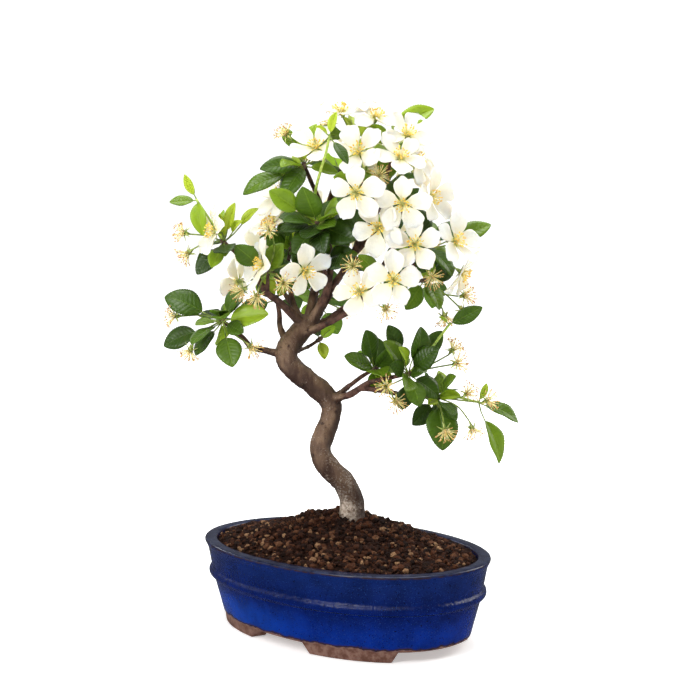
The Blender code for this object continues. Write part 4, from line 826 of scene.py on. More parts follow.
def glaze_paint():
    """Glossy cobalt glaze with fine specks, run thin to brown at the lip and stopped above the bare clay, with painted
    light that makes the lower wall a lighter blue towards its left side.
    """
    material, tree, shader, place = start_paint("cobalt_glaze", 0.24, Specular_IOR_Level=0.26)
    height = node(tree, "SeparateXYZ", {0: place}).outputs[2]
    low_blue = (0.0004, 0.016, 0.17)
    deep_blue = (0.0006, 0.0075, 0.078)
    high_blue = (0.0022, 0.011, 0.075)
    # Painted light: the lower wall turns a lighter blue towards the left of the tree's front view, the side where the
    # light falls.
    toward_painted_light = node(tree, "VectorMath", {0: place, 1: tuple(FRONT @ Vector((-1, -0.35, 0)))},
                 operation="DOT_PRODUCT").outputs["Value"]
    bright = blend(tree, step_up(tree, toward_painted_light, 0.035, 0.11), (*low_blue, 1), (0.001, 0.045, 0.32, 1))
    wall = blend(tree, step_up(tree, height, 0.016, 0.036), bright, (*deep_blue, 1))
    wall = blend(tree, step_up(tree, height, 0.036, 0.056), wall, (*high_blue, 1))
    clouds, cloud_height = mottle(tree, place, 60, (0.45, 0.45, 0.45), (1.1, 1.1, 1.1))
    wall = node(tree, "Mix", {0: 0.55, 6: wall, 7: clouds}, data_type="RGBA", blend_type="MULTIPLY").outputs[2]
    specks = node(tree, "TexNoise", {"Vector": place, "Scale": 1400.0, "Detail": 2.0}).outputs[0]
    wall = blend(tree, step_up(tree, specks, 0.6, 0.72), wall, (0.012, 0.035, 0.15, 1))
    dark = node(tree, "TexNoise", {"Vector": place, "Scale": 900.0, "Detail": 2.0}).outputs[0]
    wall = blend(tree, step_up(tree, dark, 0.62, 0.7), wall, (0.0005, 0.0012, 0.012, 1))
    lip, lip_height = mottle(tree, place, 120, (0.003, 0.005, 0.022), (0.02, 0.026, 0.058))
    wall = blend(tree, step_up(tree, height, 0.0615, 0.0629), wall, lip)
    worn = node(tree, "TexNoise", {"Vector": place, "Scale": 210.0, "Detail": 4.0}).outputs[0]
    line = sums(tree, "MULTIPLY", step_up(tree, height, 0.0611, 0.0618),
                step_up(tree, height, 0.0622, 0.0628, 1.0, 0.0))
    line = sums(tree, "MULTIPLY", line, step_up(tree, worn, 0.36, 0.6, 0.1, 0.85))
    wall = blend(tree, line, wall, (0.026, 0.013, 0.009, 1))
    ragged = node(tree, "TexNoise", {"Vector": place, "Scale": 130.0, "Detail": 4.0}).outputs[0]
    edge = sums(tree, "ADD", height, sums(tree, "MULTIPLY", sums(tree, "SUBTRACT", ragged, 0.5), 0.006))
    glazed = step_up(tree, edge, 0.0086, 0.0093)
    brown = sums(tree, "MULTIPLY", glazed, step_up(tree, edge, 0.0093, 0.0112, 1.0, 0.0))
    wall = blend(tree, brown, wall, (0.03, 0.016, 0.012, 1))
    clay, clay_height = mottle(tree, place, 220, (0.1, 0.042, 0.028), (0.2, 0.11, 0.082))
    tree.links.new(blend(tree, glazed, clay, wall), shader.inputs["Base Color"])
    tree.links.new(sums(tree, "MULTIPLY_ADD", glazed, -0.72, 0.88), shader.inputs["Roughness"])
    soft = node(tree, "TexNoise", {"Vector": place, "Scale": 260.0, "Detail": 4.0, "Roughness": 0.6}).outputs[0]
    rib = sums(tree, "MULTIPLY", step_up(tree, height, 0.036, 0.041), step_up(tree, height, 0.045, 0.049, 1.0, 0.0))
    bump(tree, shader, sums(tree, "MULTIPLY", soft, sums(tree, "MULTIPLY_ADD", rib, 1.6, 0.6)), 0.0012, 0.42)
    return material


def screen_paint():
    """Matt black plastic net."""
    material, tree, shader, place = start_paint("black_net", 0.6)
    colour, height = mottle(tree, place, 400, (0.012, 0.012, 0.013), (0.035, 0.035, 0.037))
    tree.links.new(colour, shader.inputs["Base Color"])
    bump(tree, shader, height, 0.0003, 0.3)
    return material


def soil_paint():
    """Damp dark bark and peat between the granules."""
    material, tree, shader, place = start_paint("damp_soil", 0.92, Specular_IOR_Level=0.15)
    colour, height = mottle(tree, place, 260, (0.006, 0.002, 0.001), (0.036, 0.012, 0.006))
    tree.links.new(colour, shader.inputs["Base Color"])
    bump(tree, shader, height, 0.0015, 0.8)
    return material


def granule_paint():
    """Dark red-brown granules, a few of them tan baked clay."""
    material, tree, shader, place = start_paint("soil_granules", 0.72, Specular_IOR_Level=0.16)
    tone = node(tree, "Attribute", attribute_name="tone").outputs["Fac"]
    ramp = node(tree, "ValToRGB", {0: tone})
    stops = ramp.color_ramp
    stops.interpolation = "LINEAR"
    stops.elements[0].color = (0.012, 0.004, 0.002, 1)
    stops.elements[1].color = (0.32, 0.19, 0.1, 1)
    for place_at, colour in ((0.5, (0.038, 0.012, 0.005)), (0.72, (0.09, 0.031, 0.012)),
                             (0.87, (0.18, 0.088, 0.045))):
        stop = stops.elements.new(place_at)
        stop.color = (*colour, 1)
    rough, height = mottle(tree, place, 900, (0.55, 0.5, 0.48), (1.15, 1.1, 1.05))
    colour = node(tree, "Mix", {0: 1.0, 6: ramp.outputs[0], 7: rough}, data_type="RGBA",
                  blend_type="MULTIPLY").outputs[2]
    tree.links.new(colour, shader.inputs["Base Color"])
    bump(tree, shader, height, 0.0006, 0.7)
    return material


def bark_paint():
    """Bark speckled with grey lichen at the foot, smooth brown above, red-brown on the thin branches, with painted
    shade on the wood turned away from the light.
    """
    material, tree, shader, place = start_paint("crabapple_bark", 0.52, Specular_IOR_Level=0.35)
    height = node(tree, "SeparateXYZ", {0: place}).outputs[2]
    brown, brown_height = mottle(tree, place, 62, (0.055, 0.025, 0.015), (0.21, 0.132, 0.083), (1, 1, 0.4))
    warm, warm_height = mottle(tree, place, 230, (0.84, 0.8, 0.76), (1.12, 1.1, 1.04), (1, 1, 0.5))
    brown = node(tree, "Mix", {0: 1.0, 6: brown, 7: warm}, data_type="RGBA", blend_type="MULTIPLY").outputs[2]
    specks = node(tree, "TexNoise", {"Vector": place, "Scale": 760.0, "Detail": 4.0, "Roughness": 0.72}).outputs[0]
    crust = node(tree, "TexNoise", {"Vector": place, "Scale": 95.0, "Detail": 3.0}).outputs[0]
    low = step_up(tree, height, 0.068, 0.155, 0.17, -0.12)
    lichen = step_up(tree, sums(tree, "ADD", sums(tree, "ADD", specks, low),
                                sums(tree, "MULTIPLY_ADD", crust, 0.5, -0.25)), 0.5, 0.66)
    grey, grey_height = mottle(tree, place, 400, (0.3, 0.225, 0.17), (0.6, 0.505, 0.415))
    colour = blend(tree, lichen, brown, grey)
    pale_foot = sums(tree, "MULTIPLY", step_up(tree, height, 0.076, 0.086, 1.0, 0.0), step_up(tree, crust, 0.35, 0.6))
    colour = blend(tree, sums(tree, "MULTIPLY", pale_foot, 0.7), colour, (0.5, 0.45, 0.39, 1))
    # Painted shade: wood turned away from the light from the upper left front, after its lit value, is darkened to a
    # deep red-brown.
    lit = node(tree, "Attribute", attribute_name="lit").outputs["Fac"]
    lit = sums(tree, "ADD", lit, sums(tree, "MULTIPLY_ADD", crust, 0.7, -0.35))
    colour = blend(tree, step_up(tree, lit, -0.2, 0.6, 0.86, 0.0), colour, (0.034, 0.014, 0.009, 1))
    thin_bark, thin_height = mottle(tree, place, 210, (0.035, 0.013, 0.009), (0.115, 0.052, 0.034))
    thin = node(tree, "Attribute", attribute_name="thin").outputs["Fac"]
    colour = blend(tree, step_up(tree, thin, 0.2, 0.8), colour, thin_bark)
    pores = node(tree, "TexVoronoi", {"Vector": node(tree, "VectorMath", {0: place, 1: (1, 1, 2.4)},
                                                    operation="MULTIPLY").outputs[0],
                                      "Scale": 210.0}).outputs[0]
    pore = step_up(tree, pores, 0.08, 0.2, 0.7, 0.0)
    colour = blend(tree, pore, colour, (0.03, 0.017, 0.011, 1))
    wound = node(tree, "Attribute", attribute_name="knot").outputs["Fac"]
    torn = node(tree, "TexNoise", {"Vector": place, "Scale": 520.0, "Detail": 3.0}).outputs[0]
    wound = sums(tree, "ADD", wound, sums(tree, "MULTIPLY_ADD", torn, 1.5, -0.75))
    colour = blend(tree, sums(tree, "MULTIPLY", step_up(tree, wound, 0.55, 0.95), 0.8), colour,
                   (0.03, 0.014, 0.009, 1))
    tree.links.new(colour, shader.inputs["Base Color"])
    ridges = node(tree, "TexNoise", {"Vector": node(tree, "VectorMath", {0: place, 1: (1, 1, 0.4)},
                                                   operation="MULTIPLY").outputs[0],
                                     "Scale": 330.0, "Detail": 6.0, "Roughness": 0.62}).outputs[0]
    relief = sums(tree, "SUBTRACT", ridges, sums(tree, "MULTIPLY", pore, 0.35))
    bump(tree, shader, sums(tree, "ADD", relief, sums(tree, "MULTIPLY", lichen, 0.25)), 0.0016, 0.85)
    return material


def leaf_paint(name, gloss, lift):
    """Leaf green from mature to young, with a pale midrib and side veins that run to the teeth."""
    material, tree, shader, place = start_paint(name, gloss, Specular_IOR_Level=0.35)
    blade = node(tree, "Attribute", attribute_name="blade").outputs["Vector"]
    split = node(tree, "SeparateXYZ", {0: blade})
    across = sums(tree, "ABSOLUTE", split.outputs[0])
    along = split.outputs[1]
    tone = split.outputs[2]
    ramp = node(tree, "ValToRGB", {0: tone})
    stops = ramp.color_ramp
    stops.elements[0].color = (0.017 * lift, 0.04 * lift, 0.004 * lift, 1)
    stops.elements[1].color = (0.47, 0.56, 0.035, 1)
    for place_at, colour in ((0.4, (0.05, 0.108, 0.006)), (0.7, (0.2, 0.32, 0.012))):
        stop = stops.elements.new(place_at)
        stop.color = (*(c * lift for c in colour), 1)
    patches, patch_height = mottle(tree, place, 90, (0.88, 0.9, 0.86), (1.08, 1.06, 1.03))
    colour = node(tree, "Mix", {0: 1.0, 6: ramp.outputs[0], 7: patches}, data_type="RGBA",
                  blend_type="MULTIPLY").outputs[2]
    slant = sums(tree, "SUBTRACT", along, sums(tree, "MULTIPLY", across, 0.17))
    wave = sums(tree, "ABSOLUTE", sums(tree, "SINE", sums(tree, "MULTIPLY", slant, 26.0)))
    side_vein = step_up(tree, wave, 0.0, 0.2, 1.0, 0.0)
    midrib = step_up(tree, across, 0.02, 0.1, 1.0, 0.0)
    vein = sums(tree, "MAXIMUM", midrib, sums(tree, "MULTIPLY", side_vein, 0.45))
    veined = node(tree, "Mix", {0: 1.0, 6: colour, 7: (1.9, 1.7, 1.9, 1)}, data_type="RGBA",
                  blend_type="MULTIPLY").outputs[2]
    young = step_up(tree, tone, 0.4, 0.75, 0.6, 0.14)
    colour = blend(tree, sums(tree, "MULTIPLY", vein, young), colour, veined)
    tree.links.new(colour, shader.inputs["Base Color"])
    quilt = sums(tree, "SUBTRACT", sums(tree, "MULTIPLY", wave, young), sums(tree, "MULTIPLY", midrib, 1.2))
    bump(tree, shader, sums(tree, "ADD", quilt, sums(tree, "MULTIPLY", patch_height, 0.2)), 0.0005, 0.6)
    return material


def petal_paint():
    """Thin white petal, cream towards its claw, with faint veins along it."""
    material, tree, shader, place = start_paint("white_petal", 0.55, Subsurface_Weight=0.5,
                                                Subsurface_Radius=(1.0, 0.72, 0.42), Subsurface_Scale=0.0022,
                                                Specular_IOR_Level=0.3)
    split = node(tree, "SeparateXYZ", {0: node(tree, "Attribute", attribute_name="blade").outputs["Vector"]})
    across, along, tone = split.outputs
    base = blend(tree, step_up(tree, along, 0.02, 0.26), (0.62, 0.62, 0.18, 1), (0.78, 0.73, 0.6, 1))
    body = blend(tree, step_up(tree, along, 0.3, 0.9), base, (0.8, 0.775, 0.715, 1))
    body = blend(tree, sums(tree, "MULTIPLY", tone, 0.4), body, (0.8, 0.72, 0.55, 1))
    fan = sums(tree, "MULTIPLY", across, sums(tree, "MULTIPLY_ADD", along, 9.0, 14.0))
    lines = step_up(tree, sums(tree, "ABSOLUTE", sums(tree, "SINE", fan)), 0.0, 0.5, 1.0, 0.0)
    body = blend(tree, sums(tree, "MULTIPLY", lines, 0.22), body, (0.72, 0.65, 0.52, 1))
    soft, height = mottle(tree, place, 300, (0.95, 0.95, 0.94), (1.0, 1.0, 1.0))
    colour = node(tree, "Mix", {0: 1.0, 6: body, 7: soft}, data_type="RGBA", blend_type="MULTIPLY").outputs[2]
    tree.links.new(colour, shader.inputs["Base Color"])
    bump(tree, shader, sums(tree, "SUBTRACT", height, lines), 0.0003, 0.35)
    return material


def stem_paint(name, dark, light, roughness):
    material, tree, shader, place = start_paint(name, roughness, Subsurface_Weight=0.1, Subsurface_Scale=0.001)
    colour, height = mottle(tree, place, 340, dark, light)
    tree.links.new(colour, shader.inputs["Base Color"])
    bump(tree, shader, height, 0.0003, 0.3)
    return material


GLAZE = glaze_paint()
NET = screen_paint()
SOIL = soil_paint()
GRANULES = granule_paint()
BARK = bark_paint()
LEAF = leaf_paint("leaf_upper", 0.36, 1.0)
LEAF_BELOW = leaf_paint("leaf_underside", 0.62, 1.9)
STEM = stem_paint("green_stem", (0.1, 0.15, 0.018), (0.27, 0.35, 0.06), 0.5)
SOFT_STEM = stem_paint("soft_shoot", (0.24, 0.34, 0.04), (0.42, 0.54, 0.1), 0.45)
SEPAL = stem_paint("sepal_green", (0.24, 0.29, 0.06), (0.5, 0.54, 0.18), 0.6)
FILAMENT = stem_paint("filament", (0.8, 0.66, 0.2), (0.92, 0.84, 0.42), 0.5)
OLD_FILAMENT = stem_paint("yellowed_filament", (0.84, 0.66, 0.2), (0.95, 0.87, 0.5), 0.5)
POLLEN = stem_paint("fresh_anther", (0.7, 0.4, 0.04), (0.92, 0.72, 0.12), 0.7)
SPENT = stem_paint("spent_anther", (0.36, 0.15, 0.05), (0.82, 0.56, 0.2), 0.8)
PETAL = petal_paint()
SPUR_BARK = stem_paint("spur_bark", (0.035, 0.018, 0.011), (0.15, 0.1, 0.065), 0.85)


# Workshop


def finish_piece(name, shape, materials, nodes=()):
    mesh = bpy.data.meshes.new(name)
    shape.to_mesh(mesh)
    shape.free()
    for material in materials:
        mesh.materials.append(material)
    item = bpy.data.objects.new(name, mesh)
    bpy.context.scene.collection.objects.link(item)
    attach(item, "root")
    if nodes:
        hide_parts(*nodes)
    return item


def dress(verts, index):
    """Gives the faces round these corners a material and smooth shading."""
    for vert in verts:
        for face in vert.link_faces:
            face.material_index = index
            face.smooth = True


def ring_places(route):
    """Where each ring of a stem stands, with its turn and its size, without twist."""
    places = []
    turn = None
    for i, (point, radius) in enumerate(route):
        ahead = (route[min(i + 1, len(route) - 1)][0] - route[max(i - 1, 0)][0]).normalized()
        if turn is None:
            turn = ahead.to_track_quat("Z", "Y").to_matrix()
        else:
            turn = (turn @ Vector((0, 0, 1))).rotation_difference(ahead).to_matrix() @ turn
        places.append(Matrix.Translation(point) @ turn.to_4x4() @ Matrix.Scale(radius, 4))
    return places


def add_stem(shape, route, sides, index=0):
    """A round stem through (place, radius) pairs in metres, closed at both ends."""
    places = ring_places(route)
    ring = bmesh.ops.create_circle(shape, cap_ends=True, segments=sides, radius=1, matrix=places[0])["verts"]
    verts = list(ring)
    edges = list({e for v in ring for e in v.link_edges})
    for before, place in zip(places, places[1:]):
        made = bmesh.ops.extrude_edge_only(shape, edges=edges)["geom"]
        ring = [g for g in made if isinstance(g, bmesh.types.BMVert)]
        edges = [g for g in made if isinstance(g, bmesh.types.BMEdge)]
        bmesh.ops.transform(shape, matrix=place @ before.inverted(), verts=ring)
        verts += ring
    bmesh.ops.contextual_create(shape, geom=edges)
    dress(verts, index)
    return verts


def row_route(route):
    return [(in_row(point), radius * MM) for point, radius in route]


def thickened(shape, thickness, offset=0):
    """The mesh of thin sheets given their thickness, with the undersides in the next material."""
    mesh = bpy.data.meshes.new("sheets")
    shape.to_mesh(mesh)
    shape.free()
    for material in (LEAF, LEAF_BELOW):
        mesh.materials.append(material)
    item = bpy.data.objects.new("sheets", mesh)
    bpy.context.scene.collection.objects.link(item)
    solid = item.modifiers.new("thickness", "SOLIDIFY")
    solid.thickness = thickness
    solid.offset = 0
    solid.material_offset = offset
    bpy.context.view_layer.update()
    graph = bpy.context.evaluated_depsgraph_get()
    made = bpy.data.meshes.new_from_object(item.evaluated_get(graph))
    bpy.data.objects.remove(item)
    bpy.data.meshes.remove(mesh)
    return made


def curve_value(table, t):
    """Reads a smooth value from (t, value) pairs."""
    for (a, first), (b, second) in zip(table, table[1:]):
        if t <= b:
            share = (t - a) / (b - a)
            share = share * share * (3 - 2 * share)
            return first + (second - first) * share
    return table[-1][1]


# Leaves

LEAF_ROWS = 34


def add_leaf(shape, layer, leaf, tone, rng):
    """A toothed blade, folded along its midrib and bent a little at its tip."""
    length = (leaf["tip"] - leaf["base"]).length
    along = (leaf["tip"] - leaf["base"]) / length
    up = leaf["side"].cross(along)
    droop = rng.uniform(0.0, 0.05) * length
    ripple = rng.uniform(0.01, 0.03) * length
    phase = rng.uniform(0, 6)
    young = min(1.0, max(0.0, (tone - 0.5) / 0.3))
    pressed = 1 - 0.06 * young
    made = bmesh.ops.create_grid(shape, x_segments=6, y_segments=LEAF_ROWS, size=1)["verts"]
    for vert in made:
        s, t = vert.co.x, (vert.co.y + 1) / 2
        vert[layer] = (s, t, tone)
        row = round(t * LEAF_ROWS)
        reach = s * 1.05
        if abs(s) > 0.99 and 1 < row < LEAF_ROWS - 1:
            reach = s * (1.07 if row % 2 else 1.015)
        point = leaf_point(leaf, reach * pressed, min(max(t, 0.004), 0.996))
        bulge = leaf["width"] * 0.04 * (1 - (2 * abs(s) - 1) ** 2) * math.sin(math.pi * t)
        lift = bulge + ripple * s * s * math.sin(9 * t + phase + (1.3 if s > 0 else 0)) * math.sin(math.pi * t)
        lift += young * abs(s) * leaf["width"] * 0.17 * leaf_half_width(t)
        point += up * (lift - droop * max(0.0, t - 0.6) ** 2 * 4)
        vert.co = in_row(point)
        for face in vert.link_faces:
            face.smooth = True
    return made


def leaf_tone(rng, name, leaf):
    """Young leaves are yellow-green: on soft shoots, at the top and at the tips of the long arms. The lifts by place
    also paint backlight there, light shining yellow-green through the leaves.
    """
    size = (leaf["tip"] - leaf["base"]).length
    tone = rng.gauss(0.3, 0.17)
    if size < 17:
        tone += rng.uniform(0.25, 0.5)
    # Young growth and painted light: the lifts by place below, at the top, at the crown's left tip and upper left and
    # at the arms' far ends, also stand for backlight.
    if leaf["tip"].z > 345:
        tone += 0.3
    if leaf["tip"].x > 92 or (name == "left_tip" and leaf["tip"].z > 285):
        tone += 0.28
    if name in ("top_left", "centre") and leaf["tip"].z > 305:
        tone += 0.22
    if name == "upper_right" and size > 26:
        tone = 0.74
    return min(0.88, max(0.02, tone))


# Flowers

PETAL_EDGE = ((0.0, 0.12), (0.12, 0.27), (0.3, 0.76), (0.48, 0.98), (0.64, 1.06), (0.82, 0.98),
              (0.93, 0.74), (1.0, 0.42))


def add_petal(shape, layer, bloom, petal, tone, rng):
    """One rounded petal on a narrow claw, cupped across and a little rumpled."""
    across, upright, facing = bloom["axes"]
    out = across * math.cos(petal["turn"]) + upright * math.sin(petal["turn"])
    side = facing.cross(out)
    phase = rng.uniform(0, 6)
    notch = rng.uniform(0.0, 0.07)
    curl = rng.uniform(-0.22, 0.16)
    gutter = rng.uniform(-0.1, 0.45)
    frill = rng.uniform(0.2, 0.75)
    lean = rng.uniform(-0.12, 0.12)
    for vert in bmesh.ops.create_grid(shape, x_segments=8, y_segments=10, size=1)["verts"]:
        s, t = vert.co.x, (vert.co.y + 1) / 2
        vert[layer] = (s, t, tone)
        half = petal["width"] * 0.55 * curve_value(PETAL_EDGE, t)
        t -= 0.11 * s * s * max(0.0, t - 0.62) / 0.38 + notch * max(0.0, 1 - 3 * abs(s)) * max(0.0, t - 0.8) * 5
        rise = petal["length"] * (petal["lift"] * t + petal["cup"] * t * t + curl * max(0.0, t - 0.75) ** 2 * 4)
        rise += (petal["roll"] + gutter) * s * s * half + (petal["twist"] * s) * half
        rise += 0.3 * math.sin(7 * t + phase) * s + 0.2 * math.sin(11 * t + 5 * s + phase)
        rise += frill * s * s * t * math.sin(8 * t * (1.3 if s > 0 else 1) + 2 * phase + 3 * s)
        narrow = 1 - 0.1 * max(0.0, gutter) * s * s
        point = (bloom["middle"] + out * (1.6 + (petal["length"] + 1.1) * t)
                 + side * (half * s * narrow + lean * petal["length"] * t * t) + facing * (0.5 + rise))
        vert.co = in_row(point)
        for face in vert.link_faces:
            face.smooth = True


def add_stamens(shape, rng, middle, facing, count, spread, reach, thread, head, fresh):
    """Fine filaments round the styles, each with its anther."""
    across = facing.orthogonal().normalized()
    upright = facing.cross(across)
    for i in range(count):
        turn = 2.4 * i + rng.uniform(-0.25, 0.25)
        lean = spread * math.sqrt((i + 0.6) / count) * rng.uniform(0.75, 1.15)
        out = across * math.cos(turn) + upright * math.sin(turn)
        way = (facing * math.cos(lean) + out * math.sin(lean)).normalized()
        length = reach * rng.uniform(0.78, 1.08)
        root = middle + out * rng.uniform(0.5, 1.5) + facing * 0.4
        bend = (way + facing * 0.25).normalized()
        knee = root + bend * length * 0.55
        tip = knee + (way + (out * 0.25)).normalized() * length * 0.45
        route = [(in_row(root), thread * MM), (in_row(knee), thread * 0.9 * MM), (in_row(tip), thread * 0.7 * MM)]
        add_stem(shape, route, 3, 4)
        turned = (FRONT @ (way + random_unit(rng) * 0.6).normalized()).to_track_quat("Z", "Y").to_matrix().to_4x4()
        size = head * rng.uniform(0.85, 1.15) * MM
        place = Matrix.Translation(in_row(tip)) @ turned @ Matrix.Diagonal((size * 0.62, size * 0.5, size, 1))
        verts = bmesh.ops.create_icosphere(shape, subdivisions=1, radius=1, matrix=place)["verts"]
        dress(verts, 5 if fresh else 6)


def add_calyx(shape, flower, rng, spread):
    """The pedicel, the small cup behind a flower and its five pointed sepals."""
    stem = flower["stem"]
    middle, facing = flower["middle"], flower["facing"]
    points = [Vector(p) for p, radius in stem[:-1]]
    route = [(Vector(p[:3]), 0.58) for p in smooth_route([tuple(p) for p in points], 2.5)]
    route[0] = (route[0][0], 0.75)
    back = middle - facing * 5.2
    cup = ((0.6, 0.66), (1.6, 0.95), (2.8, 1.45), (4.0, 1.7), (4.7, 1.95), (5.1, 2.3))
    route += [(back + facing * reach, radius) for reach, radius in cup]
    add_stem(shape, row_route(route), 8, 2)
    across = facing.orthogonal().normalized()
    upright = facing.cross(across)
    start = rng.uniform(0, 6)
    for i in range(5):
        turn = start + 2 * math.pi * i / 5
        out = across * math.cos(turn) + upright * math.sin(turn)
        way = (out * math.cos(spread) - facing * math.sin(spread)).normalized()
        root = middle - facing * 0.7 + out * 1.7
        sepal = [(root, 0.85), (root + way * 1.6, 0.8), (root + way * 3.2 - facing * 0.3, 0.45),
                 (root + way * 4.6 - facing * 0.8, 0.1)]
        verts = add_stem(shape, row_route(sepal), 5, 3)
        flat = facing.cross(out).cross(way).normalized()
        normal = FRONT @ flat
        centre = in_row(root)
        for vert in verts:
            vert.co -= normal * ((vert.co - centre).dot(normal)) * 0.55


def make_spray(name, plan, rng):
    """Leaves, soft shoots, flower stems and faded flowers of one spur."""
    spur, way = spur_of(SPRAYS[name])
    sheets = bmesh.new()
    layer = sheets.verts.layers.float_vector.new("blade")
    for leaf in plan["leaves"]:
        add_leaf(sheets, layer, leaf, leaf_tone(rng, name, leaf), rng)
    shape = bmesh.new()
    mesh = thickened(sheets, 0.42 * MM, 1)
    shape.from_mesh(mesh)
    bpy.data.meshes.remove(mesh)
    bmesh.ops.remove_doubles(shape, verts=shape.verts, dist=0.000004)
    for leaf in plan["leaves"]:
        sag = (leaf["base"] - leaf["root"]).length * 0.06
        half_way = (leaf["root"] + leaf["base"]) * 0.5 - leaf["side"].cross(leaf["tip"] - leaf["base"]).normalized() * sag
        rib = [leaf_point(leaf, 0, t) for t in (0.18, 0.42, 0.68)]
        normal = leaf["side"].cross((leaf["tip"] - leaf["base"]).normalized())
        route = [(leaf["root"], 0.62), (half_way, 0.5), (leaf["base"], 0.46)]
        route += [(p - normal * 0.22, r) for p, r in zip(rib, (0.4, 0.3, 0.17))]
        add_stem(shape, row_route(route), 6, 2)
    for stem in plan["shoots"]:
        points = smooth_route([tuple(p) for p, radius in stem], 4)
        route = [(Vector(p), 1.2 - 0.35 * i / len(points)) for i, p in enumerate(points)]
        add_stem(shape, row_route(route), 8, 8)
    knob = [(spur - way * 2.6, 1.4), (spur - way * 1.6, 1.75), (spur - way * 0.4, 1.6), (spur + way * 0.8, 2.0),
            (spur + way * 2.0, 1.75), (spur + way * 2.9, 1.2), (spur + way * 3.3, 0.5)]
    add_stem(shape, row_route(knob), 10, 7)
    for flower in plan["flowers"]:
        add_calyx(shape, flower, rng, rng.uniform(-0.1, 0.5))
    for flower in plan["faded"]:
        add_calyx(shape, flower, rng, rng.uniform(0.3, 0.9))
        add_stamens(shape, rng, flower["middle"] - flower["facing"] * 0.6, flower["facing"], 34, 1.2, 8.4,
                    0.25, 0.82, False)
    bmesh.ops.recalc_face_normals(shape, faces=shape.faces)
    finish_piece(name + "_leafy_spray", shape,
                 (LEAF, LEAF_BELOW, STEM, SEPAL, OLD_FILAMENT, POLLEN, SPENT, SPUR_BARK, SOFT_STEM),
                 (name + "_spray",))


def make_bunch(name, blooms, rng):
    """Blooms whose petals touch, each with its own heart of stamens."""
    sheets = bmesh.new()
    layer = sheets.verts.layers.float_vector.new("blade")
    for bloom in blooms:
        for petal in bloom["petals"]:
            add_petal(sheets, layer, bloom, petal, rng.random() ** 2, rng)
    shape = bmesh.new()
    mesh = thickened(sheets, 0.3 * MM)
    shape.from_mesh(mesh)
    bpy.data.meshes.remove(mesh)
    for bloom in blooms:
        facing = bloom["axes"][2]
        turned = (FRONT @ facing).to_track_quat("Z", "Y").to_matrix().to_4x4()
        place = Matrix.Translation(in_row(bloom["middle"])) @ turned @ Matrix.Diagonal((2.1 * MM, 2.1 * MM, 1.3 * MM, 1))
        dress(bmesh.ops.create_icosphere(shape, subdivisions=2, radius=1, matrix=place)["verts"], 3)
        add_stamens(shape, rng, bloom["middle"], facing, 24, 0.8, 6.9, 0.26, 1.0, True)
    bmesh.ops.recalc_face_normals(shape, faces=shape.faces)
    finish_piece(name + "_petals", shape, (PETAL, PETAL, STEM, SEPAL, FILAMENT, POLLEN), (name,))


# Wood


# Old scars and swellings on the trunk: across, back, up, radius
KNOTS = ((-30, -10, 182, 1.7), (-40, -11, 211, 1.1), (-15, -4, 153, 1.3), (-5, -4, 163, 1.1),
         (-22, -10, 131, 1.2), (-26, -6, 222, 1.5), (14, -6, 90, 1.2), (-28, 8, 176, 1.8))


def make_wood():
    """Trunk and branches drawn as stems, grown together, then given ribs and knots."""
    shape = bmesh.new()
    trunk = [(Vector(p[:3]), p[3]) for p in smooth_route(TRUNK, 3)]
    trunk[0] = (trunk[0][0], trunk[0][1])
    add_stem(shape, row_route(trunk), 28)
    for name in BRANCHES:
        add_stem(shape, row_route(branch_route(name, 4)), 12)
    for x, y, z, radius in KNOTS:
        place = Matrix.Translation(in_row((x, y, z))) @ Matrix.Scale(radius * MM, 4)
        bmesh.ops.create_icosphere(shape, subdivisions=2, radius=1, matrix=place)
    bmesh.ops.recalc_face_normals(shape, faces=shape.faces)
    mesh = bpy.data.meshes.new("wood")
    shape.to_mesh(mesh)
    shape.free()
    item = bpy.data.objects.new("wood", mesh)
    bpy.context.scene.collection.objects.link(item)
    grow = item.modifiers.new("grow", "REMESH")
    grow.mode = "VOXEL"
    grow.voxel_size = 0.75 * MM
    soften = item.modifiers.new("soften", "SMOOTH")
    soften.factor = 0.5
    soften.iterations = 3
    bpy.context.view_layer.update()
    graph = bpy.context.evaluated_depsgraph_get()
    grown_mesh = bpy.data.meshes.new_from_object(item.evaluated_get(graph))
    bpy.data.objects.remove(item)
    shape = bmesh.new()
    shape.from_mesh(grown_mesh)
    bpy.data.meshes.remove(grown_mesh)
    thin = shape.verts.layers.float.new("thin")
    knot = shape.verts.layers.float.new("knot")
    # The lit value is how far each corner faces the light from the upper left front; the bark paints shade from it.
    lit = shape.verts.layers.float.new("lit")
    toward_painted_light = FRONT @ Vector((-0.5, -0.35, 0.79))
    scars = [(in_row(scar[:3]), scar[3] * MM) for scar in KNOTS]
    axis = [tuple(in_row(p)) for p, radius in trunk]
    tree = BVHTree.FromPolygons(axis, [(i, i + 1, i) for i in range(len(axis) - 1)])
    for vert in shape.verts:
        place, normal, index, distance = tree.find_nearest(vert.co)
        share = min(1.0, max(0.0, (distance / MM - 10.5) / 10))
        vert[thin] = share
        vert[lit] = vert.normal.dot(toward_painted_light)
        pit = 0.0
        for centre, radius in scars:
            away = (vert.co - centre).length / radius
            if away < 1.9:
                pit = max(pit, 1 - abs(away - 0.85) / 0.9)
        vert[knot] = max(0.0, pit)
        p = vert.co * 1000
        swell = noise.noise(Vector((p.x * 0.13, p.y * 0.13, p.z * 0.05)))
        rib = noise.noise(Vector((p.x * 0.5, p.y * 0.5, p.z * 0.16)))
        grit = noise.noise(Vector((p.x * 1.4, p.y * 1.4, p.z * 0.8)))
        vert.co += vert.normal * (swell * 1.0 + rib * 0.5 + grit * 0.22) * (1 - 0.7 * share) * MM
        vert.co -= vert.normal * max(0.0, pit) * 0.5 * MM
    for face in shape.faces:
        face.smooth = True
    finish_piece("bark_covered_wood", shape, (BARK,), ("trunk_and_branches",))


# Soil


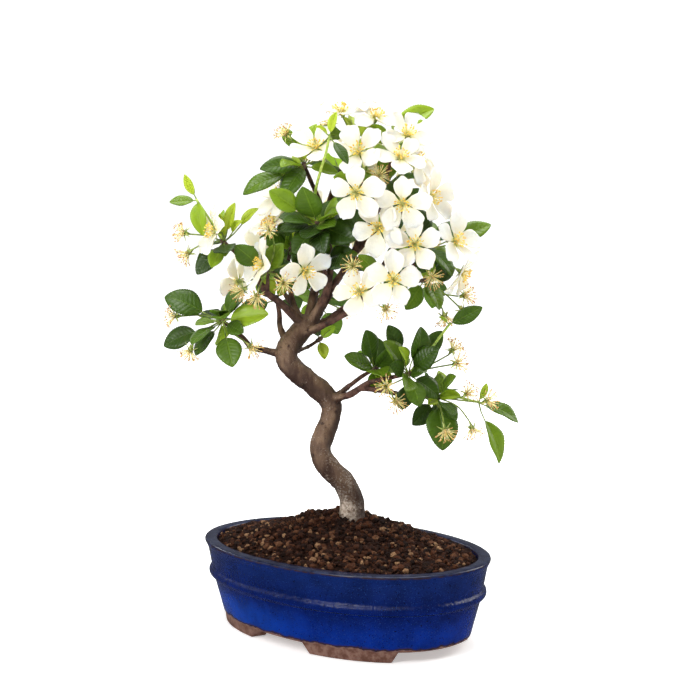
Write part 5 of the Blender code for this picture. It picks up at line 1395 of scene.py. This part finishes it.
def soil_height(x, y, share):
    """Height of the mound: highest by the trunk, sinking to just under the lip at the wall."""
    crest = FRONT @ Vector((-4, 8, 0))
    away = math.hypot(x - crest.x, y - crest.y)
    hill = 18.0 * math.exp(-(away / 50.0) ** 2)
    return 61.3 + (6.0 + hill) * (1 - share ** 4)


CLODS = tuple((FRONT @ Vector((x, y, 0)), height, wide) for x, y, height, wide in (
    (-8, -3, 4.6, 5.0), (-27, 4, 4.4, 5.5), (-19, -9, 2.4, 4.5), (24, 2, 3.2, 6.0), (-52, 0, 2.2, 6.0),
    (44, 16, 2.0, 8.0)))


def clods(x, y):
    """Lumps of the soil, larger on the hill round the trunk."""
    crest = FRONT @ Vector((-4, 8, 0))
    hill = math.exp(-(math.hypot(x - crest.x, y - crest.y) / 42.0) ** 2)
    lump = sum(height * math.exp(-((x - at.x) ** 2 + (y - at.y) ** 2) / wide ** 2)
               for at, height, wide in CLODS)
    return ((1.2 + 1.6 * hill) * noise.noise(Vector((x * 0.1, y * 0.1, 3)))
            + 1.6 * hill * noise.noise(Vector((x * 0.22, y * 0.22, 5))) + lump)


def share_of(x, y, edge):
    """How far out a place is: 0 in the middle, 1 at the wall."""
    a = abs(x) / (POT_HALF_LENGTH - edge)
    b = abs(y) / (POT_HALF_WIDTH - edge)
    return (a ** POT_SQUARENESS + b ** POT_SQUARENESS) ** (1 / POT_SQUARENESS)


def oval_ring(shape, verts, inset, height, sides):
    for i, vert in enumerate(verts):
        x, y = oval(inset, 2 * math.pi * i / sides)
        vert.co = MIDDLE + Vector((x, y, height)) * MM


def oval_walls(profile, sides):
    """A wall of oval rings through (inset, height) pairs, each ring extruded from the one before."""
    shape = bmesh.new()
    ring = bmesh.ops.create_circle(shape, cap_ends=True, segments=sides, radius=1)["verts"]
    oval_ring(shape, ring, *profile[0], sides)
    edges = list({e for v in ring for e in v.link_edges})
    for inset, height in profile[1:]:
        old = {v.index for v in ring}
        made = bmesh.ops.extrude_edge_only(shape, edges=edges)["geom"]
        fresh = [g for g in made if isinstance(g, bmesh.types.BMVert)]
        edges = [g for g in made if isinstance(g, bmesh.types.BMEdge)]
        follow = {}
        for vert in fresh:
            for edge in vert.link_edges:
                other = edge.other_vert(vert)
                if other in ring:
                    follow[other] = vert
        ring = [follow[v] for v in ring]
        oval_ring(shape, ring, inset, height, sides)
    return shape, ring, edges


def grain_handful(rng, count, edge):
    """Angular granules strewn over the mound, each with its own tone, as a mesh."""
    grains = bmesh.new()
    tone = grains.verts.layers.float.new("tone")
    trunk = FRONT @ Vector((6, 0, 0))
    while count:
        x = rng.uniform(-1, 1) * (POT_HALF_LENGTH - 11)
        y = rng.uniform(-1, 1) * (POT_HALF_WIDTH - 11)
        share = share_of(x, y, edge)
        size = rng.uniform(0.5, 1.5) if rng.random() < 0.76 else rng.uniform(1.5, 3.1)
        if share > 1 - size / 75 or math.hypot(x - trunk.x, y - trunk.y) < 9.6 + size * 0.4:
            continue
        z = soil_height(x, y, share) + clods(x, y) + rng.uniform(-0.9, 0.9)
        turn = random_unit(rng).to_track_quat("Z", "Y").to_matrix().to_4x4()
        shred = size < 1.2 and rng.random() < 0.3
        scale = Matrix.Diagonal((size * (2.6 if shred else rng.uniform(0.75, 1.3)) * MM,
                                 size * (0.4 if shred else rng.uniform(0.65, 1.05)) * MM,
                                 size * (0.35 if shred else rng.uniform(0.6, 1.0)) * MM, 1))
        place = Matrix.Translation(MIDDLE + Vector((x, y, z)) * MM) @ turn @ scale
        verts = bmesh.ops.create_icosphere(grains, subdivisions=1, radius=1, matrix=place)["verts"]
        shade = rng.random() * (0.6 if shred else 1.0)
        for vert in verts:
            vert[tone] = shade * 0.88 if shade < 0.94 else shade
            vert.co += Vector((rng.uniform(-1, 1), rng.uniform(-1, 1), rng.uniform(-1, 1))) * size * 0.13 * MM
        count -= 1
    mesh = bpy.data.meshes.new("handful")
    grains.to_mesh(mesh)
    grains.free()
    return mesh


def make_soil():
    sides = 96
    wall = [(inset + GAP, height) for inset, height in POT_INSIDE[:3]]
    wall[0] = (wall[0][0], FLOOR_HEIGHT + 2 * GAP + SCREEN_THICKNESS)
    edge = 9.2 + (12.2 - 9.2) * (62.3 - SOIL_EDGE) / (62.3 - 44.0) + GAP
    shape, ring, edges = oval_walls(wall + [(edge, SOIL_EDGE)], sides)
    levels = 26
    for level in range(1, levels + 1):
        share = 1 - level / (levels + 1.2)
        made = bmesh.ops.extrude_edge_only(shape, edges=edges)["geom"]
        fresh = {g for g in made if isinstance(g, bmesh.types.BMVert)}
        edges = [g for g in made if isinstance(g, bmesh.types.BMEdge)]
        follow = []
        for vert in ring:
            follow.append(next(e.other_vert(vert) for e in vert.link_edges if e.other_vert(vert) in fresh))
        ring = follow
        for i, vert in enumerate(ring):
            x, y = oval(edge, 2 * math.pi * i / sides)
            x, y = x * share, y * share
            z = soil_height(x, y, share) - 0.8 + clods(x, y) + 0.8 * noise.noise(Vector((x * 0.4, y * 0.4, 9)))
            vert.co = MIDDLE + Vector((x, y, z)) * MM
    bmesh.ops.contextual_create(shape, geom=edges)
    bmesh.ops.recalc_face_normals(shape, faces=shape.faces)
    for face in shape.faces:
        face.smooth = True
    finish_piece("soil_mound", shape, (SOIL,), ("soil",))

    grains = bmesh.new()
    for handful in range(85):
        mesh = grain_handful(random.Random(31 + handful), 80, edge)
        grains.from_mesh(mesh)
        bpy.data.meshes.remove(mesh)
    finish_piece("soil_granules", grains, (GRANULES,))


# Pot

POT_PROFILE = (
    POT_INSIDE[0], (19.6, 14.2), (18.5, 17.0), (15.3, 30.0), (12.2, 44.0), (10.2, 56.0), (9.4, 61.2),
    (9.2, 62.2), (8.8, 63.0), (8.1, 63.45), (6.5, 63.5), (4.0, 63.5), (1.9, 63.45), (0.9, 63.2), (0.25, 62.7),
    (0.0, 62.0), (0.1, 61.2), (0.5, 60.3), (1.1, 59.2), (1.8, 58.2), (2.5, 55.5), (3.3, 51.5), (4.0, 47.6),
    (4.6, 44.6), (4.9, 43.2), (4.95, 42.4), (4.55, 41.7), (3.9, 41.0), (3.35, 40.2), (3.0, 39.2), (2.9, 38.2),
    (3.05, 37.2), (3.5, 36.3), (4.4, 35.4), (5.6, 34.7), (6.3, 34.2), (6.8, 33.2), (7.4, 31.4), (8.6, 27.0),
    (10.1, 21.5), (11.6, 16.0), (12.8, 11.6), (13.5, 9.0), (14.0, 7.8), (14.8, BASE_HEIGHT))


def make_pot():
    sides = 144
    shape, ring, edges = oval_walls(POT_PROFILE, sides)
    bmesh.ops.contextual_create(shape, geom=edges)
    bmesh.ops.recalc_face_normals(shape, faces=shape.faces)
    for number, (first, last) in enumerate(((33, 77), (103, 147), (213, 257), (283, 327))):
        steps = 14
        foot = bmesh.new()
        made = bmesh.ops.create_circle(foot, cap_ends=True, segments=4, radius=1)["verts"]
        ring = list(made)
        for i in range(steps + 1):
            if i:
                side_edges = [e for e in foot.edges if e.verts[0] in ring and e.verts[1] in ring]
                grown_geom = bmesh.ops.extrude_edge_only(foot, edges=side_edges)["geom"]
                fresh = {g for g in grown_geom if isinstance(g, bmesh.types.BMVert)}
                ring = [next(e.other_vert(v) for e in v.link_edges if e.other_vert(v) in fresh) for v in ring]
            corners = ((BASE_HEIGHT + 1.5, -1.6, FOOT_INSET - 0.6), (BASE_HEIGHT + 1.5, -1.6, FOOT_INSET + FOOT_DEPTH),
                       (0.0, 2.4, FOOT_INSET + FOOT_DEPTH), (0.0, 2.4, FOOT_INSET + 0.4))
            for vert, (height, slant, inset) in zip(ring, corners):
                angle = math.radians(first + slant + (last - first - 2 * slant) * i / steps)
                x, y = oval(inset, angle)
                vert.co = MIDDLE + Vector((x, y, height)) * MM
        bmesh.ops.contextual_create(foot, geom=[e for e in foot.edges if e.verts[0] in ring and e.verts[1] in ring])
        bmesh.ops.recalc_face_normals(foot, faces=foot.faces)
        sharp = [e for e in foot.edges if e.calc_face_angle(0) > 0.6 and min(v.co.z for v in e.verts) < 0.004]
        bmesh.ops.bevel(foot, geom=sharp, offset=0.7 * MM, segments=3, profile=0.5, affect="EDGES", material=-1)
        mesh = bpy.data.meshes.new("foot")
        foot.to_mesh(mesh)
        foot.free()
        shape.from_mesh(mesh)
        bpy.data.meshes.remove(mesh)
    mesh = bpy.data.meshes.new("pot_body")
    shape.to_mesh(mesh)
    shape.free()
    body = bpy.data.objects.new("pot_body", mesh)
    bpy.context.scene.collection.objects.link(body)
    drills = []
    for side in (-1, 1):
        drill = bmesh.new()
        place = Matrix.Translation(MIDDLE + Vector((side * DRAIN_OFFSET, 0, FLOOR_HEIGHT / 2)) * MM)
        bmesh.ops.create_cone(drill, cap_ends=True, segments=40, radius1=DRAIN_RADIUS * MM,
                              radius2=DRAIN_RADIUS * MM, depth=(FLOOR_HEIGHT + 20) * MM, matrix=place)
        mesh = bpy.data.meshes.new("drill")
        drill.to_mesh(mesh)
        drill.free()
        item = bpy.data.objects.new("drill", mesh)
        bpy.context.scene.collection.objects.link(item)
        cut = body.modifiers.new("drain", "BOOLEAN")
        cut.operation = "DIFFERENCE"
        cut.object = item
        cut.use_self = True
        drills.append(item)
    bpy.context.view_layer.update()
    graph = bpy.context.evaluated_depsgraph_get()
    made = bpy.data.meshes.new_from_object(body.evaluated_get(graph))
    for item in drills + [body]:
        bpy.data.objects.remove(item)
    shape = bmesh.new()
    shape.from_mesh(made)
    bpy.data.meshes.remove(made)
    for face in shape.faces:
        face.smooth = True
    for edge in shape.edges:
        edge.smooth = edge.calc_face_angle(0) < 0.7
    finish_piece("glazed_pot", shape, (GLAZE,), ("pot",))


import time
T=time.time()
make_pot(); print("TIME pot", time.time()-T); T=time.time()
make_soil(); print("TIME soil", time.time()-T); T=time.time()
make_wood(); print("TIME wood", time.time()-T); T=time.time()
PLAN, BUNCHES = plan_crown(); print("TIME plan", time.time()-T); T=time.time()
DRAW = random.Random(12)
for spray_name, spray_plan in PLAN.items():
    make_spray(spray_name, spray_plan, DRAW)
print("TIME sprays", time.time()-T); T=time.time()
for number, bunch_blooms in enumerate(BUNCHES, 1):
    make_bunch(f"blossom_{number:02d}", bunch_blooms, DRAW)
print("TIME bunches", time.time()-T); T=time.time()
for side in ("left", "right"):
    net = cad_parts[f"drain_screen_{side}"]
    net.data.materials.clear()
    net.data.materials.append(NET)

# Studio


def studio_paint():
    material, tree, shader, place = start_paint("white_floor", 0.9)
    colour, height = mottle(tree, place, 3, (0.93, 0.93, 0.93), (0.95, 0.95, 0.95))
    tree.links.new(colour, shader.inputs["Base Color"])
    away = node(tree, "VectorMath", {0: place}, operation="LENGTH").outputs["Value"]
    glow = blend(tree, step_up(tree, away, 0.25, 1.1), (0.4, 0.4, 0.4, 1), (0.9, 0.9, 0.9, 1))
    tree.links.new(glow, shader.inputs["Emission Color"])
    shader.inputs["Emission Strength"].default_value = 1.0
    return material


def make_floor():
    shape = bmesh.new()
    bmesh.ops.create_circle(shape, cap_ends=True, segments=64, radius=6)
    mesh = bpy.data.meshes.new("floor")
    shape.to_mesh(mesh)
    shape.free()
    mesh.materials.append(studio_paint())
    floor = bpy.data.objects.new("floor", mesh)
    bpy.context.scene.collection.objects.link(floor)
    floor.location.z = -0.0002
    floor.visible_glossy = False
    floor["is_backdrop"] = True


def softbox(name, place, power, size, colour=(1, 1, 1)):
    """A square soft light aimed at the middle of the tree, placed in the tree's front view."""
    lamp = bpy.data.lights.new(name, "AREA")
    lamp.shape = "RECTANGLE"
    lamp.size, lamp.size_y = size
    lamp.energy = power
    lamp.color = colour
    item = bpy.data.objects.new(name, lamp)
    bpy.context.scene.collection.objects.link(item)
    item.location = FRONT @ Vector(place)
    aim = Vector((0, 0, 0.2)) - item.location
    item.rotation_euler = aim.to_track_quat("-Z", "Y").to_euler()


def light_sky():
    """White all round for the camera; for light, bright behind and above and dimmer in front."""
    world = bpy.data.worlds.new("studio")
    bpy.context.scene.world = world
    world.use_nodes = True
    tree = world.node_tree
    shader = tree.nodes["Background"]
    way = node(tree, "TexCoord").outputs["Generated"]
    back = FRONT @ Vector((0.35, 0.75, 0.55)).normalized()
    dot = node(tree, "VectorMath", {0: way, 1: tuple(back)}, operation="DOT_PRODUCT").outputs["Value"]
    glow = node(tree, "MapRange", {0: dot, 1: -0.7, 2: 0.9, 3: 0.07, 4: 0.8}).outputs[0]
    path = node(tree, "LightPath")
    shine = sums(tree, "MULTIPLY", glow, step_up(tree, path.outputs["Is Glossy Ray"], 0.0, 1.0, 1.0, 0.22))
    strength = node(tree, "Mix", {0: path.outputs["Is Camera Ray"], 2: shine, 3: 1.15},
                    data_type="FLOAT").outputs[0]
    tree.links.new(strength, shader.inputs["Strength"])
    shader.inputs["Color"].default_value = (1, 1, 1, 1)


def set_camera():
    lens = bpy.data.cameras.new("camera")
    lens.lens = 77.14
    lens.sensor_width = 36
    camera = bpy.data.objects.new("camera", lens)
    bpy.context.scene.collection.objects.link(camera)
    camera.location = MIDDLE + FRONT @ Vector((0.0048, -1.089, 0.300))
    turn = Matrix.Rotation(FRONT_TURN, 3, "Z") @ Matrix.Rotation(math.radians(90 - 4.9), 3, "X")
    camera.rotation_euler = turn.to_euler()
    bpy.context.scene.camera = camera


make_floor()
light_sky()
softbox("overhead", (0.0, 0.1, 1.3), 15.0, (0.9, 0.9))
softbox("left_front", (-1.0, -1.1, 0.9), 13.0, (0.4, 0.6))
softbox("long_strip", (-0.3, -0.75, 1.0), 4.2, (1.5, 0.04))
softbox("left_side", (-1.4, 0.1, 0.7), 1.8, (0.8, 0.06))
softbox("left_back", (-0.9, 1.1, 0.7), 1.2, (0.8, 0.06))
softbox("right_back", (1.1, 0.5, 0.8), 9.0, (0.6, 0.9), (1, 0.97, 0.93))
set_camera()
bpy.context.scene.view_settings.view_transform = "Standard"

low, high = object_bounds()
